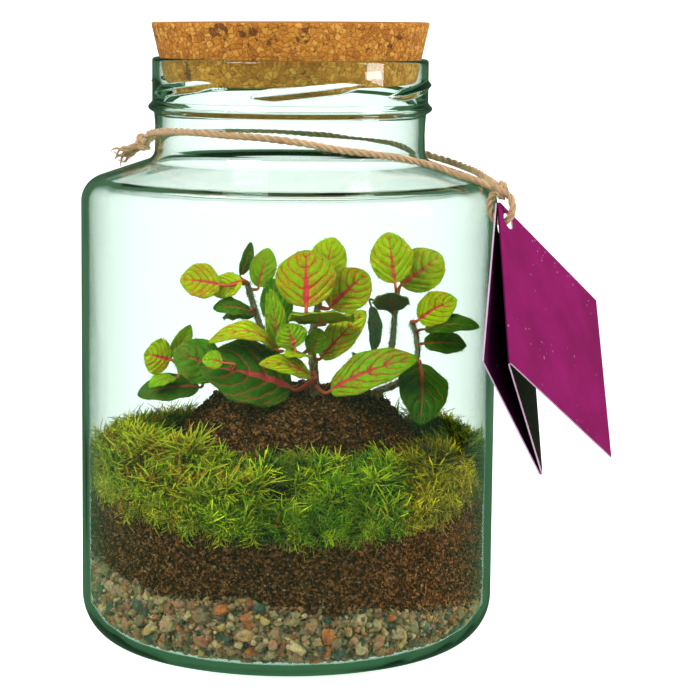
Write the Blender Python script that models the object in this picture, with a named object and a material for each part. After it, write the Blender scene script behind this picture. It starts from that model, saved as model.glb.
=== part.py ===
"""Glass plant terrarium: a wide-necked glass jar with a cork, planted with a nerve plant and moss.

Metres, +Z up. The origin is on the jar's axis, on the surface that the jar stands on. -Y is the front.
"""

import math

import bmesh
import bpy
import numpy as np
from mathutils import Matrix, Vector, noise

MM = 0.001  # lists of places below are in millimetres and scaled by this
GAP = 0.0004  # air kept between pieces that touch

# The jar
BODY_RADIUS = 0.0835
JAR_HEIGHT = 0.2353
WALL = 0.003
NECK_RADIUS = 0.0542
NECK_WALL = 0.0028
FINISH_RADIUS = 0.0552  # the threaded top of the neck
MOUTH_RADIUS = 0.0527
RIM_ROUNDING = (FINISH_RADIUS - MOUTH_RADIUS) / 2
BEAD_RADIUS = 0.0568
BEAD_HEIGHT = 0.2157
BEAD_ROUNDING = 0.0014
NECK_WAIST = 0.0003  # the neck draws in a little above the shoulder
NECK_WAIST_Z = 0.2035
SHOULDER_SLOPE = math.radians(18.9)
SHOULDER_CORNER = 0.0105
SHOULDER_CORNER_Z = 0.178
NECK_FILLET = 0.0045
HEEL_WIDTH = 0.018
HEEL_HEIGHT = 0.019
FOOT_WIDTH = 0.005
BASE_PUSH_UP = 0.0024
FLOOR_Z = 0.0056
FLOOR_RISE = 0.0012
INNER_HEEL = 0.0155
JAR_STEPS = 40

# The thread: slanted lugs round the neck
LUG_COUNT = 6
LUG_SPAN = math.radians(45)
FIRST_LUG = math.radians(6.6)  # its middle, measured from the front towards +X
LUG_Z = 0.2238
LUG_RISE = 0.005
LUG_DEPTH = 0.0015
LUG_HALF_HEIGHT = 0.0022

# The cork
CORK_HEIGHT = 0.025
CORK_TOP_Z = 0.2495
CORK_TOP_RADIUS = 0.0554
CORK_BOTTOM_RADIUS = 0.0500
CORK_CHAMFER = 0.0006
CORK_TILT = math.radians(-0.5)

# What the jar is filled with
FILL_RADIUS = BODY_RADIUS - WALL - 0.0006
GRAVEL_Z = 0.0300
GRAVEL_TILT = -0.085  # the gravel is banked up on the left
SOIL_OVER_GRAVEL = 0.0015
SOIL_Z = 0.0600
SOIL_TILT_X = -0.045
SOIL_TILT_Y = 0.05
SOIL_CROWN = 0.0165  # the soil's rise from the wall to the root ball
FILL_STEPS = 30

# The root ball that the plant came in, wider than it is deep
BALL_X = 0.004
BALL_STRETCH = 1.3
BALL_TOP_Z = 0.101
BALL_TOP_RADIUS = 0.022
BALL_RADIUS = 0.045
BALL_EDGE = 0.002

# Moss cushions: name, from angle, to angle in degrees from the front towards +X, depth
MOSS_CUSHIONS = (
    ("moss_front_left", -86, -33, 0.0115),
    ("moss_front", -31, 4, 0.0125),
    ("moss_front_right", 6, 34, 0.0135),
    ("moss_gold_tuft", 36, 66, 0.0120),
    ("moss_back_right", 68, 138, 0.0105),
    ("moss_back", 140, 212, 0.0100),
    ("moss_back_left", 214, 272, 0.0105),
)
MOSS_INNER = 0.0464

# Stems: name, radius at the foot and at the tip, and the way it grows
STEMS = (
    ("stem_main", 2.0, 1.3, ((11, -7, 101.6), (10, -8, 112), (9, -7, 122), (11, -4, 132), (12, -1, 139))),
    ("stem_left", 1.6, 1.1, ((0, -3, 101.6), (-5, -2, 112), (-11, 0, 126), (-15, 1, 138), (-17, 1, 145))),
    ("stem_left_low", 1.4, 0.9, ((-12, -9, 103), (-20, -9, 106.5), (-30, -8, 109), (-39, -7, 111), (-44.5, -7, 112.5))),
    ("stem_right", 1.6, 1.1, ((31, 5, 102.6), (38, 6, 109), (42, 6, 118), (43, 6, 130), (44, 5, 139))),
    ("stem_right_low", 1.5, 1.0, ((35, -6, 101.6), (46, -3, 106), (52, -1, 115), (52, 0, 123), (50, 1, 130))),
)
STEM_STEPS = 9

# Leaves: name, foot, tip, width, the way its face looks, how far the midrib arches, how deep it is cupped
LEAVES = (
    ("leaf_left_1", (-28, -7, 145), (-43.5, -10, 147.5), 15, (0, -0.85, 0.5), 1.0, 0.10),
    ("leaf_left_2", (-19, -2.5, 146), (-31, -1, 141), 11, (0, -0.8, 0.6), 1.0, 0.10),
    ("leaf_left_3", (-19.5, 3, 148), (-15.5, 5, 161), 5.5, (0.6, -0.8, 0), 0.5, 0.15),
    ("leaf_left_4", (-12.5, 4, 143), (-9, 7, 158.5), 10.5, (0.1, -1, 0.1), 0.8, 0.12),
    ("leaf_left_5", (-16.5, -4, 134), (-30, -9, 135.5), 10, (0, -0.6, 0.8), 1.5, 0.10),
    ("leaf_left_6", (-14, 4, 131), (-27, 10, 130), 11, (-0.1, -0.4, 0.9), 1.5, 0.10),
    ("leaf_left_7", (-27, -17, 111), (-45.5, -19, 120), 18, (-0.15, -0.85, 0.45), 1.5, 0.10),
    ("leaf_left_8", (-26, -32.5, 117), (-33.5, -33.5, 118.5), 8, (0, -0.8, 0.6), 0.8, 0.15),
    ("leaf_left_9", (-47.5, -11, 115), (-57.5, -13, 118), 14.5, (-0.1, -0.95, 0.2), 0.8, 0.10),
    ("leaf_left_10", (-47, -5.5, 115.5), (-39.5, -4, 128), 7, (0.4, -0.9, 0.1), 0.6, 0.15),
    ("leaf_left_11", (-45.5, -14, 108), (-55, -20, 105.5), 8, (0, -0.45, 0.9), 1.0, 0.12),
    ("leaf_left_12", (-36, -10, 104), (-60, -15, 101), 13, (0, -0.7, 0.7), 2.0, 0.10),
    ("leaf_mid_1", (7, -14, 137), (6, -4, 159), 24, (0, -0.9, 0.4), 1.5, 0.10),
    ("leaf_mid_2", (13.5, 4, 146), (18, 8, 163), 15, (0.1, -0.95, 0.2), 1.0, 0.10),
    ("leaf_mid_3", (16.5, -5, 136), (32, 3, 149), 18, (0.15, -0.85, 0.5), 1.5, 0.10),
    ("leaf_mid_4", (14, -10, 130), (11, -30, 137.5), 26, (0, 0.35, 0.94), -1.0, 0.06),
    ("leaf_mid_5", (13, -9.5, 116), (31, -9, 134.5), 13, (-0.35, -0.9, 0.3), 1.2, 0.12),
    ("leaf_mid_6", (-4.5, -14, 120), (-7, -13, 144), 8.5, (0.3, -0.95, 0.1), 1.0, 0.15),
    ("leaf_mid_7", (-3.5, -4, 127), (-7.5, -2, 147), 13, (0.2, -0.95, 0.2), 1.0, 0.10),
    ("leaf_mid_8", (-5.5, -17, 120), (-31, -25, 124), 10.5, (-0.1, -0.6, 0.8), 8.0, 0.12),
    ("leaf_mid_9", (2.5, -23, 122), (-1, -22, 131), 12.5, (0, -0.9, 0.35), 0.6, 0.12),
    ("leaf_mid_10", (9, -17, 119), (12.5, -16, 128.5), 9, (0.3, -0.95, 0.2), 0.5, 0.12),
    ("leaf_mid_11", (7.5, -19, 118), (-1, -29, 119.5), 9.5, (0, -0.3, 0.95), 0.8, 0.10),
    ("leaf_mid_12", (8.5, -20, 110), (-11, -31, 117.5), 9.5, (0.15, -0.7, 0.7), 2.5, 0.15),
    ("leaf_mid_13", (1, -18, 105), (-34.5, -26, 116), 29, (-0.1, -0.75, 0.62), 2.5, 0.10),
    ("leaf_mid_14", (17, -18, 104), (50, -28, 119), 17.5, (-0.1, -0.75, 0.65), 3.0, 0.12),
    ("leaf_right_1", (42.5, -5, 146), (39, -1, 166), 17.5, (0.1, -0.95, 0.3), 1.2, 0.10),
    ("leaf_right_2", (46, 4.5, 144), (62, 10, 156.5), 18, (0.2, -0.9, 0.35), 1.5, 0.10),
    ("leaf_right_3", (42, 0.5, 134), (40.5, -11, 143), 14.5, (0, 0.65, 0.75), -0.8, 0.08),
    ("leaf_right_4", (52.5, -4, 131), (67, -6, 140), 14, (-0.1, -0.85, 0.5), 1.0, 0.12),
    ("leaf_right_5", (55, -7, 127.5), (76, -13, 129.5), 10, (0, -0.6, 0.8), 2.0, 0.12),
    ("leaf_right_6", (55, -2, 121), (73, 3, 119.5), 11, (0, -0.75, 0.65), 1.5, 0.10),
    ("leaf_right_7", (34, 15, 134), (35, 14, 115), 7.5, (0.7, -0.7, 0), 1.0, 0.15),
    ("leaf_right_8", (53, -6.5, 113.5), (52, -32, 93.5), 20, (0.25, -0.75, 0.6), 2.5, 0.10),
    ("leaf_back_1", (11, 1.5, 128), (6, 28, 127), 19, (0, 0.1, 1), 3.0, 0.10),
    ("leaf_back_2", (-8, 4.5, 114), (-27, 26, 113), 17, (-0.1, 0.2, 1), 3.0, 0.10),
    ("leaf_back_3", (37, 10.5, 109), (33, 37, 107), 18, (0.1, 0.2, 1), 3.0, 0.10),
)
LEAF_THICKNESS = 0.0008
LEAF_CELLS_ALONG = 4
LEAF_CELLS_ACROSS = 4

# The twine: one jute cord round the neck, knotted on the left, with the tag hitched on at the right
TWINE_DIAMETER = 0.0028
FRONT_STRAND = (
    (-57.2, -7.5, 202.6), (-54.9, -13.5, 205.6), (-45, -34.2, 207.4), (-34, -45.2, 207.4), (-20.9, -52.7, 206.8),
    (-7.6, -56.1, 206), (3.7, -56.5, 204.6), (13.2, -55.1, 202.9), (23, -51.8, 201.2), (32.8, -46.6, 199.9),
    (44.5, -39, 197.6), (55.5, -32.5, 195), (65.4, -33.3, 191.6), (70.8, -34.3, 190.1), (77.9, -35.4, 187.4),
)
BACK_STRAND = (
    (-57.7, 4.6, 201.4), (-53.3, 18, 203.4), (-42, 37.4, 205), (-22, 52, 206), (0, 56.5, 205.2),
    (21, 52.6, 203.2), (38.5, 42.6, 200.4), (49, 34.5, 198.2), (58.5, 25.5, 195.2), (69.5, 15.5, 192.2),
    (75.8, -0.5, 190.1), (79.2, -15, 188.2), (82.1, -31.5, 186.6),
)
STRAND_POINT_EVERY = 3 * TWINE_DIAMETER
NECK_KNOT = (-58.6, -1.5, 201.2)
NECK_KNOT_RADIUS = 0.0042
TAILS = (
    ((-60.5, -2.5, 200.2), (-64, -4.5, 199), (-67.5, -5.5, 197.8), (-70.5, -6.5, 196.8)),
    ((-60.5, -1.5, 199.4), (-63.5, -1.5, 197), (-66.5, -2.5, 195), (-69, -3.5, 193.4)),
)
TAG_KNOT = (82.5, -35.8, 185.8)
TAG_KNOT_RADIUS = 0.0044
BIGHT_HALF_WIDTH = 0.0049
BIGHT_OFF_FRONT_PANEL = 0.0014  # the bight is centred on the three panels

# The tag: a square card folded in three like a Z, hanging from one corner
TAG_SIDE = 0.077
TAG_THICKNESS = 0.0006
TAG_CORNER = (81.1, -37.0, 181.0)
TAG_DOWN = (0.8, -53.4, -55.4)  # along the folds
TAG_FRONT_PANEL = (44.4, 45.6, -43.3)  # from the first fold to the front panel's free edge
TAG_MIDDLE_PANEL = (18.0, 54.0, -51.8)  # from the first fold to the second
TAG_BACK_EDGE = (-0.9, 0.5, -0.2)  # from the first fold to the back panel's free edge, at the top
TAG_BACK_SPLAY = (-9.1, -0.5, 1.0)  # how far that edge has swung out at the bottom
TAG_FOLD_RADIUS = 0.0005
TAG_HOLE_RADIUS = 0.0034
TAG_HOLE_FROM_EDGE = 0.0056


def clear_scene():
    for leftover in list(bpy.data.objects):
        bpy.data.objects.remove(leftover)


def finish(name, colour, roughness, transmission=0.0):
    """A Principled material."""
    material = bpy.data.materials.new(name)
    material.use_nodes = True
    shader = material.node_tree.nodes["Principled BSDF"]
    shader.inputs["Base Color"].default_value = (*colour, 1.0)
    shader.inputs["Roughness"].default_value = roughness
    shader.inputs["Metallic"].default_value = 0.0
    shader.inputs["Transmission Weight"].default_value = transmission
    material.diffuse_color = (*colour, 1.0)
    return material


def place(name, vertices, faces, material, smooth_below=math.radians(40)):
    """A mesh object with its faces turned outwards, smooth where it is round."""
    mesh = bpy.data.meshes.new(name)
    mesh.from_pydata([tuple(map(float, v)) for v in vertices], [], faces)
    work = bmesh.new()
    work.from_mesh(mesh)
    bmesh.ops.recalc_face_normals(work, faces=work.faces)
    work.to_mesh(mesh)
    work.free()
    mesh.shade_smooth()
    mesh.set_sharp_from_angle(angle=smooth_below)
    mesh.materials.append(material)
    item = bpy.data.objects.new(name, mesh)
    bpy.context.scene.collection.objects.link(item)
    return item


def boolean(item, other, operation):
    """Joins or cuts the item with a helper, which stays out of renders."""
    other.hide_render = True
    other.display_type = "WIRE"
    step = item.modifiers.new(operation.title(), "BOOLEAN")
    step.operation = operation
    step.object = other
    step.solver = "EXACT"


def arc(centre, radii, start, end, count):
    """Points (r, z) of an ellipse's arc, with angles in degrees."""
    angles = np.radians(np.linspace(start, end, count))
    return [(centre[0] + radii[0] * math.cos(a), centre[1] + radii[1] * math.sin(a)) for a in angles]


def turned(name, profile, steps, material):
    """A solid of revolution about Z, whose profile starts and ends on the axis."""
    around = np.arange(steps) * 2 * math.pi / steps
    vertices = [(0.0, 0.0, profile[0][1])]
    for radius, height in profile[1:-1]:
        vertices += [(radius * math.sin(a), -radius * math.cos(a), height) for a in around]
    vertices.append((0.0, 0.0, profile[-1][1]))
    last = len(vertices) - 1
    rings = len(profile) - 2
    faces = []
    for k in range(steps):
        after = (k + 1) % steps
        faces.append((0, 1 + k, 1 + after))
        for ring in range(rings - 1):
            low = 1 + ring * steps
            faces.append((low + k, low + steps + k, low + steps + after, low + after))
        faces.append((last, last - steps + after, last - steps + k))
    return place(name, vertices, faces, material)


def sheet_solid(name, upper, lower, material, closed_round=False):
    """A solid between two grids of points, upper[i][j] and lower[i][j], closed along the grids' edges."""
    rows, columns = len(upper), len(upper[0])
    vertices = [p for row in upper for p in row] + [p for row in lower for p in row]
    below = rows * columns
    spans = columns if closed_round else columns - 1
    faces = []
    for i in range(rows - 1):
        for j in range(spans):
            k = (j + 1) % columns
            a, b, c, d = i * columns + j, i * columns + k, (i + 1) * columns + k, (i + 1) * columns + j
            faces += [(a, b, c, d), (below + d, below + c, below + b, below + a)]
    for j in range(spans):
        k = (j + 1) % columns
        for row in (0, rows - 1):
            a, b = row * columns + j, row * columns + k
            faces.append((a, b, below + b, below + a))
    if not closed_round:
        for i in range(rows - 1):
            for column in (0, columns - 1):
                a, b = i * columns + column, (i + 1) * columns + column
                faces.append((a, b, below + b, below + a))
    return place(name, vertices, faces, material)


def smooth_route(points, every):
    """Points about `every` apart on a Catmull-Rom curve through a list of places in millimetres."""
    corners = [np.array(p, float) * MM for p in points]
    corners = [2 * corners[0] - corners[1]] + corners + [2 * corners[-1] - corners[-2]]
    fine = []
    for p0, p1, p2, p3 in zip(corners, corners[1:], corners[2:], corners[3:]):
        for t in np.linspace(0, 1, 24, endpoint=False):
            bend = 2 * p0 - 5 * p1 + 4 * p2 - p3
            twist = 3 * p1 - p0 - 3 * p2 + p3
            fine.append(0.5 * (2 * p1 + (p2 - p0) * t + bend * t**2 + twist * t**3))
    fine = np.array(fine + [corners[-2]])
    along = np.concatenate([[0], np.cumsum(np.linalg.norm(np.diff(fine, axis=0), axis=1))])
    stations = np.linspace(0, along[-1], max(4, round(along[-1] / every)) + 1)
    return np.stack([np.interp(stations, along, fine[:, axis]) for axis in range(3)], axis=1)


def tube(name, route, radii, resolution, material):
    """A round tube with filled caps, with its radius at each point."""
    curve = bpy.data.curves.new(name, "CURVE")
    curve.dimensions = "3D"
    curve.bevel_depth = 1.0
    curve.bevel_resolution = resolution
    curve.use_fill_caps = True
    spline = curve.splines.new("POLY")
    spline.points.add(len(route) - 1)
    for point, place_of, radius in zip(spline.points, route, radii):
        point.co = (*place_of, 1.0)
        point.radius = radius
    curve.materials.append(material)
    item = bpy.data.objects.new(name, curve)
    bpy.context.scene.collection.objects.link(item)
    return item


def swept_ring(name, route, radius, sides, material, closed):
    """A tube of mesh along a route, carried round with the least twist; a closed route makes a ring."""
    route = [Vector(p) for p in route]
    count = len(route)
    vertices = []
    side = None
    for i, point in enumerate(route):
        ahead = route[(i + 1) % count] if closed or i + 1 < count else point
        behind = route[i - 1] if closed or i else point
        along = (ahead - behind).normalized()
        if side is None:
            side = along.orthogonal().normalized()
        side = (side - along * side.dot(along)).normalized()
        other = along.cross(side)
        for k in range(sides):
            a = 2 * math.pi * k / sides
            vertices.append(point + radius * (side * math.cos(a) + other * math.sin(a)))
    faces = []
    for i in range(count if closed else count - 1):
        for k in range(sides):
            j, after = (i + 1) % count, (k + 1) % sides
            faces.append((i * sides + k, i * sides + after, j * sides + after, j * sides + k))
    if not closed:
        faces += [tuple(range(sides)), tuple(range((count - 1) * sides, count * sides))]
    return place(name, vertices, faces, material)


def ball(name, centre, radii, material):
    """A rounded lump, such as a knot's body."""
    work = bmesh.new()
    bmesh.ops.create_icosphere(work, subdivisions=2, radius=1.0)
    bmesh.ops.transform(work, matrix=Matrix.Translation(centre) @ Matrix.Diagonal((*radii, 1.0)), verts=work.verts)
    vertices = [v.co.copy() for v in work.verts]
    faces = [[v.index for v in f.verts] for f in work.faces]
    work.free()
    return place(name, vertices, faces, material)


# ---- the jar ----


def shoulder_line(radius):
    """Height of the shoulder's straight slope at a radius."""
    start_radius = BODY_RADIUS - SHOULDER_CORNER + SHOULDER_CORNER * math.sin(SHOULDER_SLOPE)
    start_z = SHOULDER_CORNER_Z + SHOULDER_CORNER * math.cos(SHOULDER_SLOPE)
    return start_z + (start_radius - radius) * math.tan(SHOULDER_SLOPE)


def jar_profile():
    """Half section from the inner floor's middle, up the inside, over the rim and down the outside."""
    slope = 90 - math.degrees(SHOULDER_SLOPE)
    inner = BODY_RADIUS - WALL
    corner = (BODY_RADIUS - SHOULDER_CORNER, SHOULDER_CORNER_Z)
    fillet_r = NECK_RADIUS + NECK_FILLET
    fillet = (fillet_r, shoulder_line(fillet_r) + NECK_FILLET / math.cos(SHOULDER_SLOPE))
    inner_corner = SHOULDER_CORNER - WALL
    inner_fillet = NECK_FILLET + NECK_WALL
    rim = (MOUTH_RADIUS + RIM_ROUNDING, JAR_HEIGHT - RIM_ROUNDING)
    heel = (BODY_RADIUS - HEEL_WIDTH, HEEL_HEIGHT)
    foot = BODY_RADIUS - HEEL_WIDTH - FOOT_WIDTH
    profile = [(0.0, FLOOR_Z + FLOOR_RISE), (0.040, FLOOR_Z + 0.5 * FLOOR_RISE)]
    profile += arc((inner - INNER_HEEL, FLOOR_Z + INNER_HEEL), (INNER_HEEL, INNER_HEEL), -90, 0, 6)
    profile += arc(corner, (inner_corner, inner_corner), 0, slope, 4)
    profile += arc(fillet, (inner_fillet, inner_fillet), 180 + slope, 180, 4)
    profile += [(NECK_RADIUS - NECK_WALL, BEAD_HEIGHT + 0.005)]
    profile += arc(rim, (RIM_ROUNDING, RIM_ROUNDING), 180, 0, 5)
    profile += [(FINISH_RADIUS, LUG_Z + LUG_RISE), (FINISH_RADIUS, BEAD_HEIGHT + 0.0023)]
    profile += arc((BEAD_RADIUS - BEAD_ROUNDING, BEAD_HEIGHT), (BEAD_ROUNDING, BEAD_ROUNDING), 50, -50, 3)
    profile += [(NECK_RADIUS + 0.0005, BEAD_HEIGHT - 0.0024)]
    profile += [(NECK_RADIUS, NECK_WAIST_Z + 0.005), (NECK_RADIUS - NECK_WAIST, NECK_WAIST_Z)]
    profile += arc(fillet, (NECK_FILLET, NECK_FILLET), 180, 180 + slope, 4)
    profile += arc(corner, (SHOULDER_CORNER, SHOULDER_CORNER), slope, 0, 5)
    profile += arc(heel, (HEEL_WIDTH, HEEL_HEIGHT), 0, -90, 7)
    profile += [(foot, 0.0), (foot - 0.004, 0.0009), (0.0, BASE_PUSH_UP)]
    return profile


def thread_lugs(material):
    """Six helical ridges, pointed at both ends, as one helper that the neck is joined with."""
    sections = 11
    vertices, faces = [], []
    for lug in range(LUG_COUNT):
        middle = FIRST_LUG + lug * 2 * math.pi / LUG_COUNT
        first = len(vertices)
        for t in np.linspace(0, 1, sections):
            size = max(0.06, min(1.0, t / 0.2, (1 - t) / 0.2)) ** 0.8
            a = middle + (t - 0.5) * LUG_SPAN
            z = LUG_Z + (t - 0.5) * LUG_RISE
            half = LUG_HALF_HEIGHT * size
            for radius, height in (
                (FINISH_RADIUS - 0.0010, z),
                (FINISH_RADIUS - 0.0004, z - half),
                (FINISH_RADIUS + LUG_DEPTH * size, z),
                (FINISH_RADIUS - 0.0004, z + half),
            ):
                vertices.append((radius * math.sin(a), -radius * math.cos(a), height))
        for i in range(sections - 1):
            for k in range(4):
                j = (k + 1) % 4
                low, high = first + 4 * i, first + 4 * (i + 1)
                faces.append((low + k, low + j, high + j, high + k))
        last = first + 4 * (sections - 1)
        faces += [(first, first + 1, first + 2, first + 3), (last + 3, last + 2, last + 1, last)]
    return place("thread_lugs_helper", vertices, faces, material)


def make_jar():
    glass = finish("pale_green_glass", (0.80, 0.93, 0.86), 0.03, transmission=1.0)
    jar = turned("glass_jar", jar_profile(), JAR_STEPS, glass)
    boolean(jar, thread_lugs(glass), "UNION")


def make_cork():
    cork = finish("agglomerated_cork", (0.60, 0.36, 0.14), 0.85)
    half = CORK_HEIGHT / 2
    slope = (CORK_TOP_RADIUS - CORK_BOTTOM_RADIUS) / CORK_HEIGHT
    profile = [
        (0.0, half),
        (CORK_TOP_RADIUS - CORK_CHAMFER, half),
        (CORK_TOP_RADIUS - CORK_CHAMFER * slope, half - CORK_CHAMFER),
        (CORK_BOTTOM_RADIUS + CORK_CHAMFER * slope, CORK_CHAMFER - half),
        (CORK_BOTTOM_RADIUS - CORK_CHAMFER, -half),
        (0.0, -half),
    ]
    stopper = turned("cork_stopper", profile, JAR_STEPS, cork)
    stopper.location = (0.0, 0.0, CORK_TOP_Z - half)
    stopper.rotation_euler = (0.0, CORK_TILT, 0.0)


# ---- the filling ----


def lumps(x, y, size, height, seed):
    """Gentle unevenness of a hand-filled layer."""
    return height * noise.noise(Vector((x / size, y / size, seed)))


def ball_distance(x, y):
    """Distance from the root ball's middle, measured as if the ball were round."""
    return math.hypot((x - BALL_X) / BALL_STRETCH, y)


def gravel_top(x, y):
    return GRAVEL_Z + GRAVEL_TILT * x + lumps(x, y, 0.022, 0.0022, 3.0)


def soil_top(x, y):
    wall = SOIL_Z + SOIL_TILT_X * x + SOIL_TILT_Y * y
    reach = min(1.0, max(0.0, (ball_distance(x, y) - BALL_RADIUS) / (FILL_RADIUS - BALL_RADIUS)))
    rise = SOIL_CROWN * (1 - reach * reach * (3 - 2 * reach))
    return wall * (1 - 0.5 * (1 - reach)) + SOIL_Z * 0.5 * (1 - reach) + rise


def floor_under_gravel(x, y):
    """The jar's inner floor and heel with a gap over it."""
    radius = math.hypot(x, y)
    centre = BODY_RADIUS - WALL - INNER_HEEL
    size = FILL_RADIUS - centre
    if radius <= centre:
        return FLOOR_Z + 0.0006 + FLOOR_RISE * (1 - radius / centre)
    return FLOOR_Z + INNER_HEEL - math.sqrt(max(0.0, size**2 - (radius - centre) ** 2))


def ring_points(centre_x, radius, stretch=1.0):
    """Places evenly round a ring, which may be drawn out along X."""
    angles = np.arange(FILL_STEPS) * 2 * math.pi / FILL_STEPS
    return [(centre_x + stretch * radius * math.sin(a), -radius * math.cos(a)) for a in angles]


def bed(name, centre_x, rings, lower, upper, material):
    """A solid between two surfaces given as heights over x and y, built on rings about one middle point."""
    vertices = [(centre_x, 0.0, upper(centre_x, 0.0)), (centre_x, 0.0, lower(centre_x, 0.0))]
    for ring in rings:
        for height in (upper, lower):
            vertices += [(x, y, height(x, y)) for x, y in ring]
    faces = []
    n = FILL_STEPS
    for k in range(n):
        after = (k + 1) % n
        faces += [(0, 2 + k, 2 + after), (1, 2 + n + after, 2 + n + k)]
        for ring in range(len(rings) - 1):
            for face_of in (0, n):
                low = 2 + 2 * n * ring + face_of
                high = low + 2 * n
                faces.append((low + k, high + k, high + after, low + after))
        outer = 2 + 2 * n * (len(rings) - 1)
        faces.append((outer + k, outer + n + k, outer + n + after, outer + after))
    return place(name, vertices, faces, material)


def make_gravel_and_soil():
    centre = BODY_RADIUS - WALL - INNER_HEEL
    size = FILL_RADIUS - centre
    heel = [centre + size * math.sin(math.radians(a)) for a in (0, 22.5, 45, 67.5, 90)]
    gravel = finish("mixed_gravel", (0.52, 0.43, 0.34), 0.9)
    rings = [ring_points(0.0, radius) for radius in [0.022, 0.044] + heel]
    bed("gravel_bed", 0.0, rings, floor_under_gravel, gravel_top, gravel)

    def soil_bottom(x, y):
        return gravel_top(x, y) + SOIL_OVER_GRAVEL

    soil = finish("dark_soil", (0.075, 0.045, 0.028), 0.95)
    rings = [ring_points(0.0, radius) for radius in (0.022, 0.044, 0.054, 0.063, 0.072, FILL_RADIUS)]
    bed("soil_bed", 0.0, rings, soil_bottom, soil_top, soil)
    make_root_ball(soil)


def make_root_ball(soil):
    """The moulded clod of soil round the roots, sitting on the soil bed."""

    def top(x, y):
        reach = min(1.0, max(0.0, (ball_distance(x, y) - BALL_TOP_RADIUS) / (BALL_RADIUS - BALL_TOP_RADIUS)))
        edge = soil_top(x, y) + BALL_EDGE
        fall = reach * reach * (3 - 2 * reach)
        height = BALL_TOP_Z + (edge - BALL_TOP_Z) * fall
        return height + (1 - fall) * fall * lumps(x, y, 0.012, 0.010, 7.0)

    def bottom(x, y):
        return soil_top(x, y) + 2 * GAP

    sizes = (0.012, BALL_TOP_RADIUS, 0.0285, 0.0335, 0.0385, BALL_RADIUS)
    rings = [ring_points(BALL_X, size, BALL_STRETCH) for size in sizes]
    bed("root_ball", BALL_X, rings, bottom, top, soil)


def make_moss():
    """Cushions of moss pressed on the soil between the root ball and the glass."""
    green = finish("green_moss", (0.16, 0.26, 0.03), 0.9)
    gold = finish("gold_moss", (0.50, 0.38, 0.05), 0.9)
    outward, sideways = 5, 7
    for name, start, end, depth in MOSS_CUSHIONS:
        upper, lower = [], []
        for s in np.linspace(0, 1, outward):
            high, low = [], []
            for t in np.linspace(0, 1, sideways):
                a = math.radians(start + t * (end - start))
                inner = (BALL_X + BALL_STRETCH * MOSS_INNER * math.sin(a), -MOSS_INNER * math.cos(a))
                outer = (FILL_RADIUS * math.sin(a), -FILL_RADIUS * math.cos(a))
                x, y = inner[0] + s * (outer[0] - inner[0]), inner[1] + s * (outer[1] - inner[1])
                edge = min(1.0, 0.25 + 6 * min(t, 1 - t, s + 0.02))
                rise = depth * edge + lumps(x, y, 0.010, 0.004, depth * 900) * edge
                ground = soil_top(x, y) + 3 * GAP
                high.append((x, y, ground + max(0.002, rise)))
                low.append((x, y, ground))
            upper.append(high)
            lower.append(low)
        sheet_solid(name, upper, lower, gold if "gold" in name else green)


# ---- the plant ----


def make_stems():
    bark = finish("brown_stem", (0.30, 0.19, 0.10), 0.7)
    for name, foot, tip, points in STEMS:
        length = sum(math.dist(a, b) for a, b in zip(points, points[1:])) * MM
        route = smooth_route(points, length / (STEM_STEPS - 1))
        radii = np.linspace(foot, tip, len(route)) * MM
        tube(name, route, radii, 1, bark)


def make_leaf(name, foot, tip, width, facing, arch, cup, material):
    """A thin oval blade: narrow at the foot, pointed at the tip, arched along its midrib and cupped across it."""
    foot, tip = Vector(foot) * MM, Vector(tip) * MM
    along = tip - foot
    length = along.length
    along.normalize()
    face = Vector(facing)
    face = (face - along * face.dot(along)).normalized()
    side = along.cross(face)
    upper, lower = [], []
    for i in range(LEAF_CELLS_ALONG + 1):
        t = i / LEAF_CELLS_ALONG
        spread = 0.10 + 0.90 * math.sin(math.pi * min(1.0, t) ** 0.85) ** 0.75 if 0 < t < 1 else 0.10
        half_width = width * MM / 2 * spread
        middle = foot + along * (length * t) + face * (arch * MM * 4 * t * (1 - t))
        high, low = [], []
        for j in range(LEAF_CELLS_ACROSS + 1):
            v = 2 * j / LEAF_CELLS_ACROSS - 1
            point = middle + side * (half_width * v) + face * (cup * half_width * v * v)
            half = LEAF_THICKNESS / 2 * (1 - 0.55 * v * v)
            high.append(point + face * half)
            low.append(point - face * half)
        upper.append(high)
        lower.append(low)
    sheet_solid(name, upper, lower, material)


def make_plant():
    lime = finish("young_leaf", (0.32, 0.46, 0.05), 0.45)
    dark = finish("older_leaf", (0.07, 0.22, 0.04), 0.4)
    older = {
        "leaf_left_5", "leaf_left_6", "leaf_left_12", "leaf_mid_7", "leaf_mid_13", "leaf_right_3",
        "leaf_right_5", "leaf_right_6", "leaf_right_7", "leaf_right_8", "leaf_back_2", "leaf_back_3",
    }
    make_stems()
    for name, foot, tip, width, facing, arch, cup in LEAVES:
        make_leaf(name, foot, tip, width, facing, arch, cup, dark if name in older else lime)


# ---- the twine and the tag ----


def make_twine():
    jute = finish("jute_twine", (0.50, 0.33, 0.17), 0.9)
    radius = TWINE_DIAMETER / 2
    for name, points in (("twine_front", FRONT_STRAND), ("twine_back", BACK_STRAND)):
        route = smooth_route(points, STRAND_POINT_EVERY)
        tube(name, route, [radius] * len(route), 2, jute)
    size = NECK_KNOT_RADIUS
    centre = Vector(NECK_KNOT) * MM
    knot = ball("twine_neck_knot", centre, (0.72 * size, size, 0.9 * size), jute)
    for i, points in enumerate(TAILS):
        route = smooth_route(points, STRAND_POINT_EVERY)
        boolean(knot, swept_ring(f"tail_{i + 1}_helper", route, radius, 6, jute, closed=False), "UNION")


def tag_frame():
    """The corner, and unit vectors along the folds, across the front panel and out of it."""
    corner = Vector(TAG_CORNER) * MM
    down = Vector(TAG_DOWN).normalized()
    across = Vector(TAG_FRONT_PANEL)
    across = (across - down * across.dot(down)).normalized()
    return corner, down, across, down.cross(across).normalized()


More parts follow.
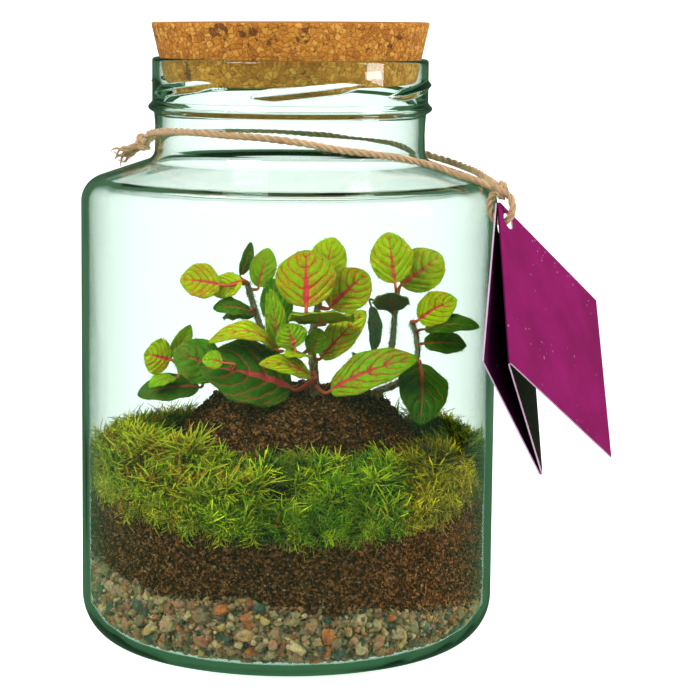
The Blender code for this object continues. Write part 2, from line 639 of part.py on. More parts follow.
def fold_arc(fold, arriving, leaving, count=5):
    """Points round a fold: `arriving` and `leaving` are unit vectors from the fold along the two panels."""
    away = -(arriving + leaving).normalized()
    centre = fold - away * TAG_FOLD_RADIUS
    across = (leaving - arriving).normalized()
    half_turn = math.pi / 2
    points = []
    for k in range(count):
        a = -half_turn + 2 * half_turn * k / (count - 1)
        points.append(centre + TAG_FOLD_RADIUS * (away * math.cos(a) + across * math.sin(a)))
    return points


def make_tag():
    """One sheet folded twice: its section runs from the back panel's edge, round both folds, to the front's."""
    card = finish("printed_card", (0.22, 0.012, 0.14), 0.45)
    corner, down, across, out = tag_frame()
    middle = Vector(TAG_MIDDLE_PANEL).normalized() * TAG_SIDE
    back_edge = Vector(TAG_BACK_EDGE) * MM
    far = corner + middle
    grid = []
    for t in (0.0, 0.5, 1.0):
        shift = down * (TAG_SIDE * t)
        splay = Vector(TAG_BACK_SPLAY) * MM * t
        start = corner + back_edge + splay
        to_start = (start - far).normalized()
        to_near = (corner - far).normalized()
        section = [start]
        section += fold_arc(far, to_start, to_near)
        section += fold_arc(corner, -to_near, across)
        section.append(corner + across * TAG_SIDE)
        grid.append([p + shift for p in section])
    upper, lower = [], []
    for row in grid:
        high, low = [], []
        for i, point in enumerate(row):
            ahead, behind = row[min(i + 1, len(row) - 1)], row[max(i - 1, 0)]
            normal = (ahead - behind).cross(down).normalized()
            high.append(point + normal * TAG_THICKNESS / 2)
            low.append(point - normal * TAG_THICKNESS / 2)
        upper.append(high)
        lower.append(low)
    tag = sheet_solid("folded_tag", upper, lower, card)
    hole = corner + (down + across) * TAG_HOLE_FROM_EDGE
    punch = swept_ring(
        "tag_punch_helper", [hole + out * k * 0.001 for k in (-12, 8)], TAG_HOLE_RADIUS, 12, card, closed=False
    )
    boolean(tag, punch, "DIFFERENCE")
    make_tag_hitch(hole, out)


def make_tag_hitch(hole, out):
    """The bight of the twine that goes through the tag's hole, and the hitch that it is drawn up in."""
    jute = bpy.data.materials["jute_twine"]
    knot = Vector(TAG_KNOT) * MM
    reach = knot - hole
    half = reach.length / 2
    up = reach.normalized()
    sideways = (out - up * out.dot(up)).normalized()
    centre = (knot + hole) / 2 - sideways * BIGHT_OFF_FRONT_PANEL
    route = []
    for k in range(20):
        a = 2 * math.pi * k / 20
        route.append(centre + up * half * math.cos(a) + sideways * BIGHT_HALF_WIDTH * math.sin(a))
    bight = swept_ring("twine_tag_hitch", route, TWINE_DIAMETER / 2, 6, jute, closed=True)
    size = TAG_KNOT_RADIUS
    lump = ball("hitch_helper", knot, (0.8 * size, 0.75 * size, size), jute)
    boolean(bight, lump, "UNION")


clear_scene()
make_jar()
make_cork()
make_gravel_and_soil()
make_moss()
make_plant()
make_twine()
make_tag()
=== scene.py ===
"""Glass plant terrarium: a corked jar with moss and a red-veined nerve plant. Metres, -Y in front."""

import math

import bmesh
import bpy
import numpy as np
from mathutils import Matrix, Vector


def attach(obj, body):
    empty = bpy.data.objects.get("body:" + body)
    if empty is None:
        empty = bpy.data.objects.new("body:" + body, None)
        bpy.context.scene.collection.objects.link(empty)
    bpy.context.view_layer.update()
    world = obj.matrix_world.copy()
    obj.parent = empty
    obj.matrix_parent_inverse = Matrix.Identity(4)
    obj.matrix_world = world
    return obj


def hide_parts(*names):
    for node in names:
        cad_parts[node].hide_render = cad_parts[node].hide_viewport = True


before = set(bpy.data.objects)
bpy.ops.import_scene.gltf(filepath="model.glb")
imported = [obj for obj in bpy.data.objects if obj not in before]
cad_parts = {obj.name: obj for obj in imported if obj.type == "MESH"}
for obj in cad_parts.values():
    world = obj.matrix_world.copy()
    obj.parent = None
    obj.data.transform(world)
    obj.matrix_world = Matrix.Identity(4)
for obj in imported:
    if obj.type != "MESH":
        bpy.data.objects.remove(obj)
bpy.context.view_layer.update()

# ---- the studio ----
# The jar stands on a small white table that glows a little. A large soft light hangs over its front left
# and a weaker one stands at its right. Through the glass the room is white behind the jar and dims
# towards the front, so that the glass shows its edges. Looked at directly it is white all round, and
# in mirror reflections both the room and the table are a dim green.

scene = bpy.context.scene
EYE = Vector((0.0, -1.0, 0.257))
PITCH, PAN, ROLL = math.radians(7.88), math.radians(1.38), math.radians(0.6)
camera = bpy.data.cameras.new("camera")
camera.sensor_width = 36.0
camera.lens = 128.64
camera.clip_start = 0.01
eye = bpy.data.objects.new("camera", camera)
ahead = Vector((math.sin(PAN) * math.cos(PITCH), math.cos(PAN) * math.cos(PITCH), -math.sin(PITCH)))
level = Vector((math.cos(PAN), -math.sin(PAN), 0.0))
upright = level.cross(ahead)
to_right = math.cos(ROLL) * level + math.sin(ROLL) * upright
to_top = math.cos(ROLL) * upright - math.sin(ROLL) * level
eye.matrix_world = Matrix.Translation(EYE) @ Matrix((to_right, to_top, -ahead)).transposed().to_4x4()
scene.collection.objects.link(eye)
scene.camera = eye
scene.view_settings.view_transform = "Standard"
scene.view_settings.look = "None"

WHITE_LEVEL = 1.42
FRONT_LEVEL = 0.30
MIRROR_LEVEL = 0.16
FILL_LEVEL = 0.62
room = bpy.data.worlds.new("white_room")
room.use_nodes = True
backdrop = room.node_tree.nodes["Background"]


def room_math(operation, *terms):
    """A Math node in the room's shader, from output sockets and numbers."""
    node = room.node_tree.nodes.new("ShaderNodeMath")
    node.operation = operation
    for socket, term in zip(node.inputs, terms):
        if isinstance(term, float):
            socket.default_value = term
        else:
            room.node_tree.links.new(term, socket)
    return node.outputs[0]


path = room.node_tree.nodes.new("ShaderNodeLightPath")
way = room.node_tree.nodes.new("ShaderNodeSeparateXYZ")
room.node_tree.links.new(room.node_tree.nodes.new("ShaderNodeTexCoord").outputs["Generated"], way.inputs[0])
behind = room.node_tree.nodes.new("ShaderNodeMapRange")
behind.interpolation_type = "SMOOTHSTEP"
room.node_tree.links.new(way.outputs["Y"], behind.inputs["Value"])
for socket, end in (
        ("From Min", -0.55), ("From Max", 0.70), ("To Min", FRONT_LEVEL), ("To Max", WHITE_LEVEL)):
    behind.inputs[socket].default_value = end
mirrored = room_math("GREATER_THAN", path.outputs["Glossy Depth"], 0.5)
shown = room_math("MULTIPLY", behind.outputs["Result"], room_math("SUBTRACT", 1.0, mirrored))
shown = room_math("ADD", shown, room_math("MULTIPLY", mirrored, MIRROR_LEVEL))
shown = room_math("MAXIMUM", shown, room_math("MULTIPLY", path.outputs["Is Camera Ray"], WHITE_LEVEL))
lit = path.outputs["Is Diffuse Ray"]
whiteness = room_math("MAXIMUM", lit, room_math("MULTIPLY", shown, 0.75))
hue = room.node_tree.nodes.new("ShaderNodeMix")
hue.data_type = "RGBA"
hue.inputs[6].default_value = (0.42, 1.0, 0.52, 1.0)
hue.inputs[7].default_value = (1.0, 1.0, 1.0, 1.0)
room.node_tree.links.new(whiteness, hue.inputs[0])
room.node_tree.links.new(hue.outputs[2], backdrop.inputs["Color"])
not_lit = room_math("SUBTRACT", 1.0, lit)
strength = room_math("ADD", room_math("MULTIPLY", lit, FILL_LEVEL), room_math("MULTIPLY", not_lit, shown))
room.node_tree.links.new(strength, backdrop.inputs["Strength"])
scene.world = room


def soft_light(name, place, aim, size, power):
    """A square area light at a place, turned towards the point that it lights."""
    light = bpy.data.lights.new(name, "AREA")
    light.shape = "RECTANGLE"
    light.size, light.size_y = size
    light.energy = power
    lamp = bpy.data.objects.new(name, light)
    turn = (Vector(aim) - Vector(place)).to_track_quat("-Z", "Y").to_matrix().to_4x4()
    lamp.matrix_world = Matrix.Translation(place) @ turn
    scene.collection.objects.link(lamp)


soft_light("key_light", (-0.75, -0.85, 1.05), (0.0, 0.0, 0.12), (0.7, 0.7), 16.0)
soft_light("side_light", (1.1, -0.35, 0.6), (0.0, 0.0, 0.12), (0.4, 0.9), 11.0)

TABLE_CORNERS = ((-0.28, -0.15), (0.30, -0.15), (0.30, 0.45), (-0.28, 0.45))
TABLE_Z = -0.0002
table_top = bpy.data.meshes.new("table_top")
table_top.from_pydata([(x, y, TABLE_Z) for x, y in TABLE_CORNERS], [], [(0, 1, 2, 3)])
table = bpy.data.objects.new("table_top", table_top)
scene.collection.objects.link(table)
table_finish = bpy.data.materials.new("white_table")
table_finish.use_nodes = True
table_shader = table_finish.node_tree.nodes["Principled BSDF"]
table_shader.inputs["Base Color"].default_value = (0.9, 0.9, 0.9, 1.0)
table_shader.inputs["Roughness"].default_value = 0.8
table_shader.inputs["Specular IOR Level"].default_value = 0.0
table_shader.inputs["Emission Color"].default_value = (1.0, 1.0, 1.0, 1.0)
table_shader.inputs["Emission Strength"].default_value = FILL_LEVEL
table_nodes, table_links = table_finish.node_tree.nodes, table_finish.node_tree.links
unlit = table_nodes.new("ShaderNodeEmission")
unlit.inputs["Color"].default_value = (0.060, 0.150, 0.075, 1.0)
in_mirror = table_nodes.new("ShaderNodeMath")
in_mirror.operation = "GREATER_THAN"
in_mirror.inputs[1].default_value = 0.5
table_links.new(table_nodes.new("ShaderNodeLightPath").outputs["Glossy Depth"], in_mirror.inputs[0])
table_mix = table_nodes.new("ShaderNodeMixShader")
table_links.new(in_mirror.outputs[0], table_mix.inputs[0])
table_links.new(table_shader.outputs[0], table_mix.inputs[1])
table_links.new(unlit.outputs[0], table_mix.inputs[2])
table_links.new(table_mix.outputs[0], table_nodes["Material Output"].inputs["Surface"])
table_top.materials.append(table_finish)


# ---- the glass jar ----
# One piece of clear moulded glass with a green tint that shows where it is thick. The neck carries a
# bead and six slanting lugs for a twist-off lid, and the base is pushed up inside a flat foot ring.

BODY_RADIUS = 0.0835
JAR_HEIGHT = 0.2353
WALL = 0.003
NECK_RADIUS = 0.0542
NECK_WALL = 0.0028
FINISH_RADIUS = 0.0552
MOUTH_RADIUS = 0.0527
BEAD_RADIUS = 0.0568
BEAD_Z = 0.2157
SHOULDER_SLOPE = math.radians(18.9)
SHOULDER_CORNER = 0.0105
SHOULDER_CORNER_Z = 0.178
NECK_FILLET = 0.0045
HEEL_WIDTH = 0.018
HEEL_HEIGHT = 0.019
FOOT_WIDTH = 0.005
FLOOR_Z = 0.0036
INNER_HEEL = 0.0155
LUGS = 6
LUG_SPAN = math.radians(45)
FIRST_LUG = math.radians(6.6)
LUG_Z = 0.2238
LUG_RISE = 0.005
LUG_DEPTH = 0.0017
LUG_HALF_HEIGHT = 0.0022


class Wire:
    """An output socket of a material. Arithmetic on it adds Math nodes."""

    def __init__(self, tree, socket):
        self.tree = tree
        self.socket = socket

    def math(self, operation, *terms):
        node = self.tree.nodes.new("ShaderNodeMath")
        node.operation = operation
        for socket, term in zip(node.inputs, terms):
            if isinstance(term, Wire):
                self.tree.links.new(term.socket, socket)
            else:
                socket.default_value = term
        return Wire(self.tree, node.outputs[0])

    def __add__(self, other):
        return self.math("ADD", self, other)

    def __sub__(self, other):
        return self.math("SUBTRACT", self, other)

    def __mul__(self, other):
        return self.math("MULTIPLY", self, other)

    def __pow__(self, other):
        return self.math("POWER", self, other)

    def __abs__(self):
        return self.math("ABSOLUTE", self)

    def __radd__(self, other):
        return self.math("ADD", other, self)

    def __rsub__(self, other):
        return self.math("SUBTRACT", other, self)

    def __rmul__(self, other):
        return self.math("MULTIPLY", other, self)

    def minimum(self, other):
        return self.math("MINIMUM", self, other)

    def maximum(self, other):
        return self.math("MAXIMUM", self, other)

    def step(self, low, high):
        """0 at low, 1 at high and smooth between them. low may be over high."""
        node = self.tree.nodes.new("ShaderNodeMapRange")
        node.interpolation_type = "SMOOTHSTEP"
        flip = low > high
        ends = (high, low, 1.0, 0.0) if flip else (low, high, 0.0, 1.0)
        self.tree.links.new(self.socket, node.inputs["Value"])
        for name, end in zip(("From Min", "From Max", "To Min", "To Max"), ends):
            node.inputs[name].default_value = end
        return Wire(self.tree, node.outputs["Result"])


class Finish:
    """A material in the making, with its Principled shader."""

    def __init__(self, name, **constants):
        self.material = bpy.data.materials.new(name)
        self.material.use_nodes = True
        self.tree = self.material.node_tree
        self.shader = self.tree.nodes["Principled BSDF"]
        for socket, constant in constants.items():
            self.shader.inputs[socket.replace("_", " ")].default_value = constant

    def node(self, kind, settings=None, sockets=None, out=0):
        """Adds a node: settings first, then socket values or Wires. Gives the Wire of its output."""
        node = self.tree.nodes.new("ShaderNode" + kind)
        for name, setting in (settings or {}).items():
            if name == "stops":
                ramp = node.color_ramp.elements
                while len(ramp) < len(setting):
                    ramp.new(0.5)
                for stop, (position, colour) in zip(ramp, setting):
                    stop.position = position
                    stop.color = (*colour, 1.0)
            else:
                setattr(node, name, setting)
        for name, value in (sockets or {}).items():
            if isinstance(value, Wire):
                self.tree.links.new(value.socket, node.inputs[name])
            else:
                node.inputs[name].default_value = value
        return Wire(self.tree, node.outputs[out])

    def place(self):
        return self.node("TexCoord", out="Object")

    def axes(self, vector):
        wires = self.node("SeparateXYZ", {}, {"Vector": vector})
        node = wires.socket.node
        return [Wire(self.tree, node.outputs[axis]) for axis in "XYZ"]

    def stretch(self, vector, scale):
        return self.node("Mapping", {}, {"Vector": vector, "Scale": scale})

    def noise(self, vector, scale, detail=3.0, roughness=0.55, out="Fac"):
        sockets = {"Vector": vector, "Scale": scale, "Detail": detail, "Roughness": roughness}
        return self.node("TexNoise", {}, sockets, out)

    def cells(self, vector, scale, feature="F1", out="Distance"):
        return self.node("TexVoronoi", {"feature": feature}, {"Vector": vector, "Scale": scale}, out)

    def ramp(self, factor, stops):
        return self.node("ValToRGB", {"stops": stops}, {"Fac": factor})

    def blend(self, factor, first, second, way="MIX"):
        """A colour mixed from two colours or Wires."""
        first, second = [(*c, 1.0) if isinstance(c, tuple) and len(c) == 3 else c for c in (first, second)]
        return self.node("Mix", {"data_type": "RGBA", "blend_type": way}, {0: factor, 6: first, 7: second}, 2)

    def feed(self, name, wire):
        self.tree.links.new(wire.socket, self.shader.inputs[name])

    def relief(self, height, distance, strength=1.0):
        bump = self.node("Bump", {}, {"Height": height, "Distance": distance, "Strength": strength})
        self.feed("Normal", bump)


def placed(name, points, faces, material, smooth=True):
    """A mesh object from arrays of points and of faces, all triangles or all quads, riding on the root."""
    mesh = bpy.data.meshes.new(name)
    faces = np.asarray(faces, np.int32)
    points = np.asarray(points, np.float32)
    mesh.vertices.add(len(points))
    mesh.vertices.foreach_set("co", points.ravel())
    mesh.loops.add(faces.size)
    mesh.loops.foreach_set("vertex_index", faces.ravel())
    mesh.polygons.add(len(faces))
    mesh.polygons.foreach_set("loop_start", np.arange(0, faces.size, faces.shape[1], dtype=np.int32))
    mesh.polygons.foreach_set("use_smooth", np.full(len(faces), smooth))
    mesh.materials.append(material)
    mesh.update(calc_edges=True)
    mesh.validate()
    piece = bpy.data.objects.new(name, mesh)
    scene.collection.objects.link(piece)
    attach(piece, "root")
    return piece


def grid_faces(rows, columns, wrap_columns=False):
    """Quads between neighbours of a grid whose point (i, j) is number i * columns + j."""
    i = np.arange(rows - 1)[:, None]
    j = np.arange(columns if wrap_columns else columns - 1)[None, :]
    down, across = i + 1, (j + 1) % columns
    corners = (i * columns + j, i * columns + across, down * columns + across, down * columns + j)
    return np.stack([np.broadcast_to(c, (i.size, j.size)) for c in corners], axis=-1).reshape(-1, 4)


def arc(centre, radii, start, end, count):
    """Points (r, z) of an ellipse's arc, with angles in degrees."""
    turn = np.radians(np.linspace(start, end, count))
    return np.stack([centre[0] + radii[0] * np.cos(turn), centre[1] + radii[1] * np.sin(turn)], axis=1)


def line(start, end, count):
    """Points evenly along a line, without its ends."""
    t = np.linspace(0, 1, count + 2)[1:-1, None]
    return np.asarray(start) * (1 - t) + np.asarray(end) * t


def jar_section():
    """Half section (r, z) from the inner floor's middle, up the inside, over the rim and down the outside."""
    slope = 90 - math.degrees(SHOULDER_SLOPE)
    inner = BODY_RADIUS - WALL
    corner = (BODY_RADIUS - SHOULDER_CORNER, SHOULDER_CORNER_Z)
    start_r = corner[0] + SHOULDER_CORNER * math.sin(SHOULDER_SLOPE)
    start_z = corner[1] + SHOULDER_CORNER * math.cos(SHOULDER_SLOPE)
    fillet_r = NECK_RADIUS + NECK_FILLET
    slope_rise = (start_r - fillet_r) * math.tan(SHOULDER_SLOPE)
    fillet_z = start_z + slope_rise + NECK_FILLET / math.cos(SHOULDER_SLOPE)
    rim_half = (FINISH_RADIUS - MOUTH_RADIUS) / 2
    rim = (MOUTH_RADIUS + rim_half, JAR_HEIGHT - rim_half)
    foot = BODY_RADIUS - HEEL_WIDTH - FOOT_WIDTH
    inner_corner, inner_fillet = SHOULDER_CORNER - WALL, NECK_FILLET + NECK_WALL
    parts = [
        np.array([(0.0004, FLOOR_Z + 0.0012)]),
        line((0.0004, FLOOR_Z + 0.0012), (inner - INNER_HEEL, FLOOR_Z), 6),
        arc((inner - INNER_HEEL, FLOOR_Z + INNER_HEEL), (INNER_HEEL, INNER_HEEL), -90, 0, 16),
        line((inner, FLOOR_Z + INNER_HEEL), (inner, SHOULDER_CORNER_Z), 14),
        arc(corner, (inner_corner, inner_corner), 0, slope, 12),
        arc((fillet_r, fillet_z), (inner_fillet, inner_fillet), 180 + slope, 180, 12),
        line((NECK_RADIUS - NECK_WALL, fillet_z), (NECK_RADIUS - NECK_WALL, BEAD_Z), 3),
        np.array([(NECK_RADIUS - NECK_WALL, BEAD_Z + 0.005), (MOUTH_RADIUS, BEAD_Z + 0.010)]),
        line((MOUTH_RADIUS, BEAD_Z + 0.010), (MOUTH_RADIUS, rim[1]), 2),
        arc(rim, (rim_half, rim_half), 180, 0, 13),
        line((FINISH_RADIUS, rim[1]), (FINISH_RADIUS, BEAD_Z + 0.0024), 44),
        arc((FINISH_RADIUS + 0.0008, BEAD_Z + 0.0026), (0.0008, 0.0008), 180, 230, 4),
        arc((BEAD_RADIUS - 0.0014, BEAD_Z), (0.0014, 0.0014), 62, -62, 11),
        arc((NECK_RADIUS + 0.0012, BEAD_Z - 0.0028), (0.0010, 0.0010), 130, 180, 4),
        line((NECK_RADIUS, BEAD_Z - 0.004), (NECK_RADIUS - 0.0003, 0.2035), 4),
        arc((fillet_r, fillet_z), (NECK_FILLET, NECK_FILLET), 180, 180 + slope, 12),
        arc(corner, (SHOULDER_CORNER, SHOULDER_CORNER), slope, 0, 16),
        line((BODY_RADIUS, SHOULDER_CORNER_Z), (BODY_RADIUS, HEEL_HEIGHT), 14),
        arc((BODY_RADIUS - HEEL_WIDTH, HEEL_HEIGHT), (HEEL_WIDTH, HEEL_HEIGHT), 0, -90, 20),
        np.array([(foot, 0.0), (foot - 0.0015, 0.0002), (foot - 0.004, 0.0009)]),
        line((foot - 0.004, 0.0009), (0.0004, 0.0024), 5),
        np.array([(0.0004, 0.0024)]),
    ]
    return np.concatenate(parts)


def jar_surface(section, around):
    """The section turned about Z. On the outside of the neck's top, each lug adds a ridge whose height
    falls off evenly to both sides of a helical line and to a point at both ends."""
    r, z = section[:, 0][:, None], section[:, 1][:, None]
    a = np.arange(around)[None, :] * 2 * math.pi / around
    pitch = 2 * math.pi / LUGS
    t = (np.mod(a - FIRST_LUG + pitch / 2, pitch) - pitch / 2) / LUG_SPAN
    taper = np.clip((0.5 - np.abs(t)) / 0.2, 0, 1) ** 0.8
    off = (z - (LUG_Z + t * LUG_RISE)) / (LUG_HALF_HEIGHT * np.maximum(taper, 0.05))
    ridge = LUG_DEPTH * taper * np.clip(1 - np.abs(off), 0, 1)
    outside = (np.abs(r - FINISH_RADIUS) < 1e-6) & (z > BEAD_Z)
    r = r + np.where(outside, ridge, 0.0)
    return np.stack([r * np.sin(a), -r * np.cos(a), z + 0 * a], axis=-1)


def close_poles(surface):
    """Faces and points of a turned grid with one more point at each end, so that it is closed."""
    rows, columns = surface.shape[:2]
    points = surface.reshape(-1, 3)
    ends = np.array([surface[0].mean(axis=0), surface[-1].mean(axis=0)])
    quads = grid_faces(rows, columns, wrap_columns=True)
    j = np.arange(columns)
    after = (j + 1) % columns
    last = (rows - 1) * columns
    first_cap = np.stack([np.full(columns, rows * columns), after, j], axis=1)
    last_cap = np.stack([np.full(columns, rows * columns + 1), last + j, last + after], axis=1)
    triangles = np.concatenate([quads[:, [0, 1, 2]], quads[:, [0, 2, 3]], first_cap, last_cap])
    return np.concatenate([points, ends]), triangles


def outward(points, triangles):
    """The triangles, turned round if together they enclose a negative volume."""
    a, b, c = (points[triangles[:, k]] for k in range(3))
    return triangles[:, ::-1] if np.einsum("ij,ij->i", a, np.cross(b, c)).sum() < 0 else triangles


SEAM_X = -0.0083
SEAM_WIDTH = 0.0007
green_glass = Finish(
    "clear_green_glass", Roughness=0.0, IOR=1.5, Transmission_Weight=1.0, Base_Color=(1, 1, 1, 1))
spot = green_glass.place()
x, y, z = green_glass.axes(spot)
waves = green_glass.noise(green_glass.stretch(spot, (1.0, 1.0, 0.45)), 38.0, 1.0)
seam = abs(x - SEAM_X).step(SEAM_WIDTH, 0.0) * y.step(0.0, -0.01)
green_glass.relief(waves * 0.6 + seam * 0.03, 0.0006, 1.0)
clear = green_glass.node("BsdfTransparent", {}, {"Color": (0.93, 0.97, 0.94, 1.0)})
shadow = green_glass.node("LightPath", out="Is Shadow Ray")
surface = Wire(green_glass.tree, green_glass.shader.outputs[0])
both = green_glass.node("MixShader", {}, {0: shadow, 1: surface, 2: clear})
tint = green_glass.node("VolumeAbsorption", {}, {"Color": (0.0, 0.83, 0.44, 1.0), "Density": 34.0})
ending = green_glass.tree.nodes["Material Output"]
green_glass.tree.links.new(both.socket, ending.inputs["Surface"])
green_glass.tree.links.new(tint.socket, ending.inputs["Volume"])

points, triangles = close_poles(jar_surface(jar_section(), 288))
jar = placed("jar", points, outward(points, triangles), green_glass.material)
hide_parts("glass_jar")


# ---- the cork ----
# A tapered disc pressed from cork granules, golden tan with dark bark specks, resting in the mouth.

CORK_HEIGHT = 0.025
CORK_TOP_Z = 0.2495
CORK_TOP_RADIUS = 0.0554
CORK_BOTTOM_RADIUS = 0.0500
CORK_TILT = math.radians(-0.5)

cork_finish = Finish("pressed_cork", Roughness=0.88, Specular_IOR_Level=0.25)
spot = cork_finish.place()
warped = cork_finish.node("VectorMath", {"operation": "ADD"}, {
    0: spot, 1: cork_finish.node("VectorMath", {"operation": "SCALE"}, {
        0: cork_finish.noise(spot, 420.0, 3.0, out="Color"), "Scale": 0.0022})})
grain_tone = cork_finish.cells(warped, 470.0, out="Color")
grain = cork_finish.axes(grain_tone)
edges = cork_finish.cells(warped, 470.0, feature="DISTANCE_TO_EDGE")
tan = cork_finish.ramp(grain[0], [
    (0.0, (0.39, 0.135, 0.016)), (0.35, (0.52, 0.195, 0.023)), (0.7, (0.61, 0.25, 0.032)),
    (1.0, (0.70, 0.34, 0.060))])
tan = cork_finish.blend(edges.step(0.10, 0.0) * 0.45, tan, (0.27, 0.095, 0.020))
specks = cork_finish.noise(spot, 640.0, 4.0, 0.7).step(0.60, 0.66)
bark = cork_finish.cells(warped, 150.0, out="Color")
bark = cork_finish.axes(bark)[1].step(0.86, 0.90) * cork_finish.noise(warped, 300.0, 2.0).step(0.45, 0.55)
tan = cork_finish.blend((specks * 0.75).maximum(bark * 0.85), tan, (0.12, 0.045, 0.015))
cork_finish.feed("Base Color", tan)
pitted = edges.step(0.0, 0.12) + cork_finish.noise(spot, 900.0, 4.0) * 0.9 - specks * 0.9
cork_finish.relief(pitted, 0.0005, 0.8)


def cork_surface(around=192):
    """The cork's section turned about Z: a flat bottom, a straight taper and a flat top, with worn edges
    and small pits given by sums of sines."""
    half = CORK_HEIGHT / 2
    section = np.concatenate([
        [(0.0004, -half)],
        line((0.0004, -half), (CORK_BOTTOM_RADIUS - 0.0008, -half), 24),
        arc((CORK_BOTTOM_RADIUS - 0.0008, -half + 0.0008), (0.0008, 0.0008), -90, -10, 4),
        line((CORK_BOTTOM_RADIUS, -half + 0.001), (CORK_TOP_RADIUS, half - 0.0008), 22),
        arc((CORK_TOP_RADIUS - 0.0007, half - 0.0007), (0.0007, 0.0007), 10, 90, 4),
        line((CORK_TOP_RADIUS - 0.0007, half), (0.0004, half), 24),
        [(0.0004, half)],
    ])
    a = np.arange(around)[None, :] * 2 * math.pi / around
    r, z = section[:, 0][:, None], section[:, 1][:, None]
    r = r * (1 + 0.0012 * np.sin(31 * a + 900 * z) * np.sin(17 * a - 500 * z))
    x, y = r * np.sin(a), -r * np.cos(a)
    tilted_x = x * math.cos(CORK_TILT) + z * math.sin(CORK_TILT)
    tilted_z = z * math.cos(CORK_TILT) - x * math.sin(CORK_TILT)
    return np.stack([tilted_x, y, tilted_z + CORK_TOP_Z - half], axis=-1)


points, triangles = close_poles(cork_surface())
cork = placed("cork", points, outward(points, triangles), cork_finish.material)
cork.data.set_sharp_from_angle(angle=math.radians(50))
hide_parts("cork_stopper")


# ---- the twine ----
# One length of three-ply jute round the neck. Its two ends are knotted together on the left, and on
# the right both strands are tied in a hitch, whose loop goes through the tag's hole.

PLY_RADIUS = 0.00079
PLY_OFFSET = 0.00070
PLY_LAY = 0.0105
FRONT_STRAND = (
    (-57.2, -7.5, 202.6), (-54.9, -13.5, 205.6), (-45, -34.2, 207.4), (-34, -45.2, 207.4),
    (-20.9, -52.7, 206.8), (-7.6, -56.1, 206), (3.7, -56.5, 204.6), (13.2, -55.1, 202.9),
    (23, -51.8, 201.2), (32.8, -46.6, 199.9), (44.5, -39, 197.6), (55.5, -32.5, 195),
    (65.4, -33.3, 191.6), (70.8, -34.3, 190.1), (77.9, -35.4, 187.4),
)
BACK_STRAND = (
    (-57.7, 4.6, 201.4), (-53.3, 18, 203.4), (-42, 37.4, 205), (-22, 52, 206), (0, 56.5, 205.2),
    (21, 52.6, 203.2), (38.5, 42.6, 200.4), (49, 34.5, 198.2), (58.5, 25.5, 195.2), (69.5, 15.5, 192.2),
    (75.8, -0.5, 190.1), (79.2, -15, 188.2), (82.1, -31.5, 186.6),
)
NECK_KNOT = (-58.6, -1.5, 201.2)
TAILS = (
    ((-59.0, -1.8, 200.9), (-60.5, -2.5, 200.2), (-64, -4.5, 199), (-67.5, -5.5, 197.8),
     (-70.5, -6.5, 196.8)),
    ((-59.0, -1.3, 200.6), (-60.5, -1.5, 199.4), (-63.5, -1.5, 197), (-66.5, -2.5, 195),
     (-69, -3.5, 193.4)),
)
TAG_KNOT = (82.5, -35.8, 185.8)
TAG_CORNER = (81.1, -37.0, 181.0)
TAG_DOWN = (0.8, -53.4, -55.4)
TAG_FRONT_PANEL = (44.4, 45.6, -43.3)
TAG_MIDDLE_PANEL = (18.0, 54.0, -51.8)
TAG_BACK_EDGE = (-0.9, 0.5, -0.2)
TAG_BACK_SPLAY = (-9.1, -0.5, 1.0)
TAG_SIDE = 0.077
TAG_THICKNESS = 0.0006
TAG_HOLE_RADIUS = 0.0034
TAG_HOLE_FROM_EDGE = 0.0056


def unit(vectors):
    """Vectors along the last axis, each divided by its own length."""
    return vectors / np.linalg.norm(vectors, axis=-1, keepdims=True)


def smooth_route(corners, every):
    """Points about `every` metres apart on a Catmull-Rom curve through corners given in millimetres."""
    p = np.asarray(corners, float) / 1000
    p = np.concatenate([[2 * p[0] - p[1]], p, [2 * p[-1] - p[-2]]])
    t = np.linspace(0, 1, 24, endpoint=False)[None, :, None]
    p0, p1, p2, p3 = (p[k:len(p) - 3 + k][:, None, :] for k in range(4))
    bend, twist = 2 * p0 - 5 * p1 + 4 * p2 - p3, 3 * p1 - p0 - 3 * p2 + p3
    fine = 0.5 * (2 * p1 + (p2 - p0) * t + bend * t**2 + twist * t**3)
    fine = np.concatenate([fine.reshape(-1, 3), p[-2:-1]])
    along = np.concatenate([[0], np.cumsum(np.linalg.norm(np.diff(fine, axis=0), axis=1))])
    stations = np.linspace(0, along[-1], max(3, round(along[-1] / every)) + 1)
    return np.stack([np.interp(stations, along, fine[:, axis]) for axis in range(3)], axis=1)


def carried_frames(route):
    """(tangent, side, other side) at each point of a route, carried along it with the least twist."""
    tangent = unit(np.gradient(route, axis=0))
    side = np.zeros_like(route)
    side[0] = unit(np.cross(tangent[0], (0.31, 0.17, 0.93)))
    for i in range(1, len(route)):
        held = side[i - 1] - tangent[i] * (side[i - 1] @ tangent[i])
        side[i] = held / np.linalg.norm(held)
    return tangent, side, np.cross(tangent, side)


def ring_round(angles, side, other):
    """Unit offsets at these angles about each place of a route, from its two side directions."""
    return np.cos(angles)[None, :, None] * side[:, None] + np.sin(angles)[None, :, None] * other[:, None]


